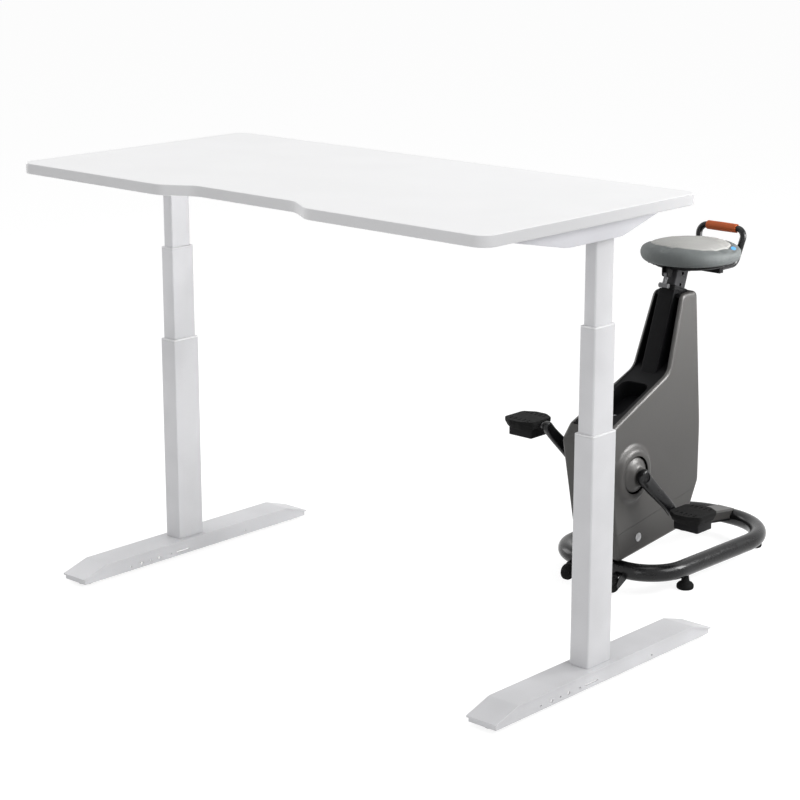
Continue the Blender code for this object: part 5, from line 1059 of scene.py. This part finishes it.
class Cranks(bpy.types.Operator):
    """Hub covers, crank arms and pedals."""
    bl_idname = "trainer_desk.cranks"
    bl_label = "Cranks and pedals"

    def arm(self, name, side, along, up):
        """Arm from boss to pedal end: superellipses of power three, set along the crank's direction.

        The half width falls evenly from 20 to 15 mm and closes on an ellipse at both ends; the section moves
        out by the sweep times 3t^2 - 2t^3, and is 14 % thinner between the two bosses.
        """
        turn = np.linspace(0, math.pi / 2, 12)
        middle = np.linspace(0, 1, 44)[1:-1]
        share = np.concatenate([-0.135 * np.cos(turn), middle, 1 + 0.105 * np.sin(turn)])
        swell = np.concatenate([np.sin(turn), np.interp(middle, (0, 0.3, 0.65, 1), (1, 0.94, 0.90, 0.88)),
                                0.88 * np.cos(turn)])
        inside = np.clip(share, 0, 1)
        waist = np.interp(share, (0.06, 0.20, 0.80, 0.94), (0, 1, 1, 0))
        waist = waist ** 2 * (3 - 2 * waist)
        half = (0.020 - 0.005 * inside) * swell
        thick = CRANK_THICK / 2 * (1 - 0.14 * waist) * (0.55 + 0.45 * np.clip(swell / 0.88, 0, 1) ** 0.6)
        out = CRANK_FROM + CRANK_THICK / 2 + CRANK_SWEEP * inside ** 2 * (3 - 2 * inside)
        angle = circle(48)
        cos, sin = (np.sign(wave) * np.abs(wave) ** (2 / 3) for wave in (np.cos(angle), np.sin(angle)))
        length = share[:, None, None] * CRANK_LENGTH * along
        width = (half[:, None] * cos)[..., None] * up
        depth = (out[:, None] + thick[:, None] * sin)[..., None] * (side, 0, 0)
        return tidied(surface(name, length + width + depth + np.array(CRANK), ends=(True, True)))

    def tread(self, name, middle):
        """The outline carried up in rows, in by its normals: a tapered foot, rounded edges, a flat top."""
        corners = [(-PEDAL_HALF, -0.0345, 0.012), (-0.0158, -PEDAL_LONG, 0.018), (0.0158, -PEDAL_LONG, 0.018),
                   (PEDAL_HALF, -0.0345, 0.012), (PEDAL_HALF, 0.0345, 0.012), (0.0158, PEDAL_LONG, 0.018),
                   (-0.0158, PEDAL_LONG, 0.018), (-PEDAL_HALF, 0.0345, 0.012)]
        outline = spaced(rounded(corners, 10)[0], 160)
        rows = softened_profile([(0.0108, PEDAL_LOW), (0.0072, PEDAL_LOW), (0, 0.0052), (0, PEDAL_TOP),
                                 (0.0080, PEDAL_TOP)], 0.0016, 4)
        flat = outline[None] - outward(outline)[None] * rows[:, :1, None]
        height = np.broadcast_to(rows[:, 1:, None], (*flat.shape[:2], 1))
        return tidied(surface(name, np.concatenate([flat, height], axis=2) + middle, ends=(True, True)))

    def pedal(self, side, word, tip):
        """Tread with its bore and slots, and the weight below that keeps it level."""
        middle = tip + (side * (PEDAL_FROM + PEDAL_HALF), 0, 0)
        item = add(self.tread("pedal_" + word + "_fine", middle), "black_rubber", ("pedal_" + word,))
        place = Matrix.Translation(middle)
        bore = rod(0.0058, PEDAL_FROM - 0.01, PEDAL_FROM + 0.0756)
        slot = rectangle((-0.002, -0.0075), (0.002, 0.0075), 0.0019, arc_steps=5)
        slots = [block_of("slot", slot + (step * SLOT_PITCH, row * SLOT_ROW), place, PEDAL_TOP - SLOT_DEEP,
                          PEDAL_TOP + SLOT_DEEP) for step in range(-2, 3) for row in (-1, 1)]
        carved(item, turned("bore", bore, across(CRANK.x, *tip[1:], side), 32), *slots)
        eased(item, 0.0004, 2, 40)
        weight = rectangle((-0.035, -0.030), (0.035, 0.030), 0.004, arc_steps=6)
        add(slab("pedal_" + word + "_weight", weight, place, -0.030, -0.006, 0.002), "black_plastic",
            body=body_of("pedal_" + word))

    def execute(self, context):
        cover = [(AXLE_BORE, 0.070), (0.0428, 0.070), (0.0428, 0.0745), (0.0410, 0.0765), (0.0334, 0.0805),
                 (0.0245, 0.089), (0.020, 0.090), (AXLE_BORE, 0.090)]
        cap = [(0, 0.1072), (0.0114, 0.1072), (0.0114, 0.1082), (0.0100, 0.1088), (0.0040, 0.1088),
               (0.0036, 0.1080), (0, 0.1080)]
        spindle = [(0, 0.126), (0.0076, 0.126), (0.0076, 0.1412), (0.0055, 0.1416), (0.0055, 0.2140),
                   (0, 0.2145)]
        for side, word in SIDES:
            hub = across(CRANK.x, CRANK.y, CRANK.z, side)
            data = softly_turned("hub_cover_" + word + "_fine", cover, 0.003, hub, 96, True, 4)
            add(data, "graphite_shell", ("hub_cover_" + word,))
            angle = CRANK_ANGLE if side > 0 else CRANK_ANGLE + math.pi
            along = np.array((0, math.cos(angle), math.sin(angle)))
            up = np.array((0, -math.sin(angle), math.cos(angle)))
            tip = np.array(CRANK) + along * CRANK_LENGTH
            item = add(self.arm("crank_" + word + "_fine", side, along, up), "black_enamel",
                       ("crank_" + word,))
            carved(item, turned("bore", rod(AXLE_BORE, 0.045, 0.13), hub, 48),
                   turned("recess", rod(0.0118, 0.1070, 0.13), hub, 48))
            eased(item, 0.0006, 2, 45)
            arm = body_of("crank_" + word)
            add(softly_turned("crank_cap_" + word, cap, 0.0003, hub, 48), "black_plastic", body=arm)
            add(turned("spindle_" + word, spindle, across(CRANK.x, *tip[1:], side), 32), "machined_steel",
                body=arm)
            self.pedal(side, word, tip)
        return {"FINISHED"}


class Seat(bpy.types.Operator):
    """Padded seat with its hem and label, the pan, post, collar and release lever."""
    bl_idname = "trainer_desk.seat"
    bl_label = "Seat"

    def rim(self, share, rise, angle):
        """Points of the seat's outline: a circle's cosine and sine to the power 0.92.

        It is 7 % narrower at the front, and its height falls by 12 % towards the back and dips at the thighs.
        """
        u, v = (np.sign(wave) * np.abs(wave) ** 0.92 for wave in (np.cos(angle), np.sin(angle)))
        narrow = 1 - 0.07 * np.maximum(0, -v)
        dip = 0.006 * np.clip((rise - 0.5) / 0.3, 0, 1) * share
        fall = 1 - 0.12 * np.maximum(0, v) * share
        return np.stack([SEAT_MIDDLE.x + SEAT_HALF_WIDTH * share * u * narrow,
                         SEAT_MIDDLE.y + SEAT_HALF_LENGTH * share * v,
                         SEAT_MIDDLE.z + SEAT_THICK * rise * fall - dip * u ** 2], axis=-1)

    def cushion(self):
        """Rows of outlines from the flat base out to the widest girth and in over the crown."""
        rows = np.array([
            (0.00, 0.000), (0.60, 0.000), (0.84, 0.000), (0.885, 0.010), (0.925, 0.055), (0.958, 0.14),
            (0.980, 0.26), (0.988, 0.38), (0.986, 0.50), (0.976, 0.62), (0.957, 0.72), (0.935, 0.790),
            (0.900, 0.850), (0.86, 0.885), (0.78, 0.918), (0.60, 0.950), (0.38, 0.960), (0.16, 0.958),
            (0.0, 0.956)])
        rows = spaced(rows * (SEAT_HALF_WIDTH, SEAT_THICK), 90, False) / (SEAT_HALF_WIDTH, SEAT_THICK)
        angle = circle(200)[None]
        data = tidied(surface("seat_cushion_fine", self.rim(rows[:, :1], rows[:, 1:], angle)))
        item = add(data, "seat_skin", ("seat_cushion",), smooth_below=70)
        modified(item, "voxels", "REMESH", mode="VOXEL", voxel_size=VOXEL)
        modified(item, "relax", "SMOOTH", iterations=5)
        applied(item)
        self.swell(item)
        modified(item, "finer", "SUBSURF", levels=2, render_levels=2)
        applied(item)
        self.seam(item.data)
        item.data.shade_smooth()
        return item

    def swell(self, item):
        """Cloth under pressure for 20 frames with its base held; each point moves no farther than the cap."""
        start = vectors_of(item.data.vertices, "co")
        held = item.vertex_groups.new(name="base")
        held.add(np.flatnonzero(start[:, 2] < start[:, 2].min() + HELD_HEIGHT).tolist(), 1.0, "REPLACE")
        cloth = item.modifiers.new("cloth", "CLOTH")
        cloth.settings.use_pressure = True
        cloth.settings.uniform_pressure_force = SWELL_PRESSURE
        cloth.settings.vertex_group_mass = "base"
        cloth.settings.effector_weights.gravity = 0
        for step in range(SWELL_FRAMES):
            bpy.context.scene.frame_set(step + 1)
        graph = bpy.context.evaluated_depsgraph_get()
        move = vectors_of(item.evaluated_get(graph).data.vertices, "co") - start
        item.modifiers.remove(cloth)
        bpy.context.scene.frame_set(1)
        cap = settings("bike").cushion_swell
        move *= np.minimum(1, cap / np.maximum(np.linalg.norm(move, axis=1, keepdims=True), 1e-9))
        item.data.vertices.foreach_set("co", (start + move).ravel())
        item.data.update()

    def seam(self, data):
        """Groove where top panel and side band meet: a Gaussian of the distance, along the normals.

        Seen from above, the seam runs at 0.80 of the way out from the middle, and at 0.74 across the front.
        """
        place, normal = vectors_of(data.vertices, "co"), vectors_of(data.vertices, "normal")
        u = (place[:, 0] - SEAT_MIDDLE.x) / SEAT_HALF_WIDTH
        v = (place[:, 1] - SEAT_MIDDLE.y) / SEAT_HALF_LENGTH
        reach = np.hypot(u, v)
        front = np.clip(-v / np.maximum(reach, 1e-6), 0, 1) ** 2
        away = (SEAM_REACH - SEAM_FRONT * front - reach) * SEAT_HALF_WIDTH
        away = np.where(place[:, 2] > SEAT_MIDDLE.z + 0.5 * SEAT_THICK, away, -0.02)
        depth = GROOVE_DEEP * np.exp(-(away / GROOVE_WIDE) ** 2)
        data.vertices.foreach_set("co", (place - normal * depth[:, None]).ravel())
        data.update()
        values = {"seam_away": away, "seam_run": (np.arctan2(u, -v) + math.pi) * SEAT_HALF_WIDTH}
        for word, number in values.items():
            data.attributes.new(word, "FLOAT", "POINT").data.foreach_set("value", number.astype(np.float32))

    def hem(self):
        """Gathered black cloth round the base: an ellipse carried round the outline, its size rippling."""
        angle = circle(720)
        ripple = 1 + 0.28 * np.sin(46 * angle) + 0.22 * np.sin(73 * angle + 1) + 0.15 * np.sin(19 * angle)
        line, outer = (self.rim(np.full(720, share), np.zeros(720), angle) for share in (HEM_LINE, HEM_OUTER))
        out = unit(outer - line)
        turn = circle(12)[None, :, None]
        section = HEM_WIDE * np.cos(turn) * out[:, None] + HEM_HIGH * np.sin(turn) * np.array((0, 0, 1))
        grid = line[:, None] + section * ripple[:, None, None]
        add(tidied(surface("seat_hem", grid, along=True)), "dust_cloth", body=body_of("seat_pan"))

    def label(self, cushion):
        """Plain oval label that lies on the cushion's upper edge behind the right thigh."""
        found, spot, facing, _ = cushion.closest_point_on_mesh(SEAT_MIDDLE + LABEL_AT)
        if not found:
            raise RuntimeError("no place for the seat's label")
        angle = circle(48)
        share = np.linspace(0, 1, 8)[:, None]
        grid = np.stack([LABEL_HALF_WIDTH * share * np.cos(angle), LABEL_HALF_LENGTH * share * np.sin(angle),
                         0 * share * angle], axis=-1)
        turn = facing.to_track_quat("Z", "Y").to_matrix().to_4x4()
        data = tidied(surface("seat_label", placed(grid, Matrix.Translation(spot) @ turn)), False)
        item = add(data, "label_blue", body=body_of("seat_cushion"))
        modified(item, "lie", "SHRINKWRAP", target=cushion, wrap_method="NEAREST_SURFACEPOINT",
                 wrap_mode="ABOVE_SURFACE", offset=0.0003)
        applied(item)
        modified(item, "wall", "SOLIDIFY", thickness=0.0009, offset=1)
        applied(item)
        eased(item, 0.0003, 2, 40)

    def post(self):
        """Rectangular tube along the mast's line, drilled through both sides every 28 mm."""
        outer, inner = (rectangle((-wide, -deep), (wide, deep), radius) for wide, deep, radius in (
            (0.015, 0.0235, 0.004), (0.015 * 0.8, 0.0235 * 0.8723, 0.002)))
        data = tube_of("seat_post_fine", outer, inner, SEAT_PLACE, POST_REACH - POST_LONG,
                       POST_REACH - POST_BELOW_SEAT)
        item = add(data, "post_steel", ("seat_post",))
        spots = [MAST_TOP + SEAT_UP * (POST_REACH - HOLE_FIRST - step * HOLE_PITCH) for step in range(5)]
        carved(item, *(turned("drill", rod(HOLE_RADIUS, -0.03, 0.03), across(*spot), 32) for spot in spots))
        eased(item, 0.0004, 2, 45)

    def execute(self, context):
        cushion = self.cushion()
        self.hem()
        self.label(cushion)
        self.post()
        softened("seat_pan", "black_plastic", 0.0006)
        softened("post_collar", "black_plastic", 0.0006)
        softened("seat_lever", "dark_steel", 0.0005)
        return {"FINISHED"}


class Handle(bpy.types.Operator):
    """Carry handle and its grip."""
    bl_idname = "trainer_desk.handle"
    bl_label = "Carry handle"

    def execute(self, context):
        root, foot, low, back, top = 0.337, 0.417, 0.7367, 0.439, 0.820
        narrow, wide, bend, tube = 0.056, 0.068, 0.0205, 0.008
        route = bent([(-narrow, root, low, 0), (-narrow, foot, low, bend), (-wide, back, top, bend),
                      (wide, back, top, bend), (narrow, foot, low, bend), (narrow, root, low, 0)])
        route = spaced(route + (CRANK.x, CRANK.y, 0), 220, False)
        add(swept("carry_handle_fine", route, tube, (0.02, 0.95, 0.31), 36), "black_enamel",
            ("carry_handle",))
        profile = [(0.0083, -0.0435), (0.0102, -0.0435), (0.0111, -0.0425), (0.0114, 0), (0.0111, 0.0425),
                   (0.0102, 0.0435), (0.0083, 0.0435)]
        place = across(CRANK.x, CRANK.y + back, top)
        add(softly_turned("handle_grip_fine", profile, 0.0012, place, 64, True, 4), "grip_tan",
            ("handle_grip",))
        return {"FINISHED"}


class Stage(bpy.types.Operator):
    """Pale floor, soft light and the camera at the photograph's angle."""
    bl_idname = "trainer_desk.stage"
    bl_label = "Stage"

    def execute(self, context):
        stage = settings("stage")
        corners = np.array([[(-30, -30, 0), (30, -30, 0)], [(-30, 30, 0), (30, 30, 0)]], float)
        floor = new_object("floor", surface("floor", corners, False))
        floor.data.materials.append(self.floor_finish(stage.floor_colour))
        for lamp in (("key", (4.4, 0.6, 3.6), (0, 0, 0.6), stage.key_power, 2.4),
                     ("side", (1.30, 1.05, 1.00), (0.36, 0.45, 0.60), 7, 0.6, 80),
                     ("top", (-0.4, -0.4, 5.0), (0, 0, 0.8), 54, 3.6),
                     ("left", (-3.8, -0.6, 1.6), (0, 0, 0.7), 50, 2.0),
                     ("front", (1.6, -3.6, 1.3), (0.5, 0, 0.6), 20, 1.6)):
            self.light(*lamp)
        self.world(stage.sky_strength)
        camera = new_object("camera", bpy.data.cameras.new("camera"))
        camera.location = (3.2654, -3.3849 + BOARD_MIDDLE, 1.7629)
        camera.rotation_euler = (math.pi / 2 - 0.2575, 0, 0.7418)
        camera.data.lens = 96.90
        bpy.context.scene.camera = camera
        bpy.context.scene.view_settings.view_transform = "Standard"
        return {"FINISHED"}

    def floor_finish(self, colour):
        """Matt floor; what sees it directly sees mostly white, with the object's shadow faint on it."""
        pot = Finish("floor_pale")
        lit = pot.node("ShaderNodeBsdfDiffuse", {"Color": colour})
        veil = pot.node("ShaderNodeBsdfDiffuse", {"Color": scaled(colour, 0.35)})
        glow = pot.node("ShaderNodeEmission", {"Color": (1, 1, 1), "Strength": 0.85})
        pale = pot.node("ShaderNodeAddShader", {0: veil, 1: glow})
        pot.show("Material Output", lit, pale)
        return pot.material

    def light(self, name, place, target, power, size, spread=180):
        """Square lamp at a place, turned to its target."""
        lamp = bpy.data.lights.new(name, "AREA")
        lamp.energy, lamp.size, lamp.spread = power, size, math.radians(spread)
        item = new_object(name, lamp)
        item.location = place
        item.rotation_euler = (Vector(place) - Vector(target)).to_track_quat("Z", "Y").to_euler()

    def world(self, strength):
        """White where it is seen directly, and an even light of the given strength on everything else."""
        world = bpy.data.worlds.new("studio")
        bpy.context.scene.world = world
        world.use_nodes = True
        pot = Nodes(world.node_tree)
        pot.show("World Output", *(pot.node("ShaderNodeBackground", {"Color": (1, 1, 1), "Strength": level})
                                   for level in (strength, 1.0)))


STEPS = (Finishes, Board, Columns, DeskFrame, Glides, Body, Panel, Base, Drive, Cranks, Seat, Handle, Stage)
GROUPS = (("desk", DeskSettings), ("bike", BikeSettings), ("stage", StageSettings))


class TRAINERDESK_PT_looks(bpy.types.Panel):
    """Lists the steps in the sidebar."""
    bl_label = "Trainer desk"
    bl_idname = "TRAINERDESK_PT_looks"
    bl_space_type = "VIEW_3D"
    bl_region_type = "UI"
    bl_category = "Trainer desk"

    def draw(self, context):
        for name, group in GROUPS:
            box = self.layout.box()
            for key in group.__annotations__:
                box.prop(settings(name), key)
        for step in STEPS:
            self.layout.operator(step.bl_idname)


def register():
    for name, group in GROUPS:
        bpy.utils.register_class(group)
        setattr(bpy.types.Scene, "trainer_desk_" + name, PointerProperty(type=group))
    for step in STEPS:
        bpy.utils.register_class(step)
    bpy.utils.register_class(TRAINERDESK_PT_looks)


def unregister():
    bpy.utils.unregister_class(TRAINERDESK_PT_looks)
    for step in reversed(STEPS):
        bpy.utils.unregister_class(step)
    for name, group in GROUPS:
        delattr(bpy.types.Scene, "trainer_desk_" + name)
        bpy.utils.unregister_class(group)


def clear_start():
    """Removes what a new file brings along."""
    for name in ("Cube", "Light", "Camera"):
        if name in bpy.data.objects:
            bpy.data.objects.remove(bpy.data.objects[name])


def main():
    clear_start()
    register()
    for step in STEPS:
        group, name = step.bl_idname.split(".")
        getattr(getattr(bpy.ops, group), name)()


if __name__ == "__main__":
    main()
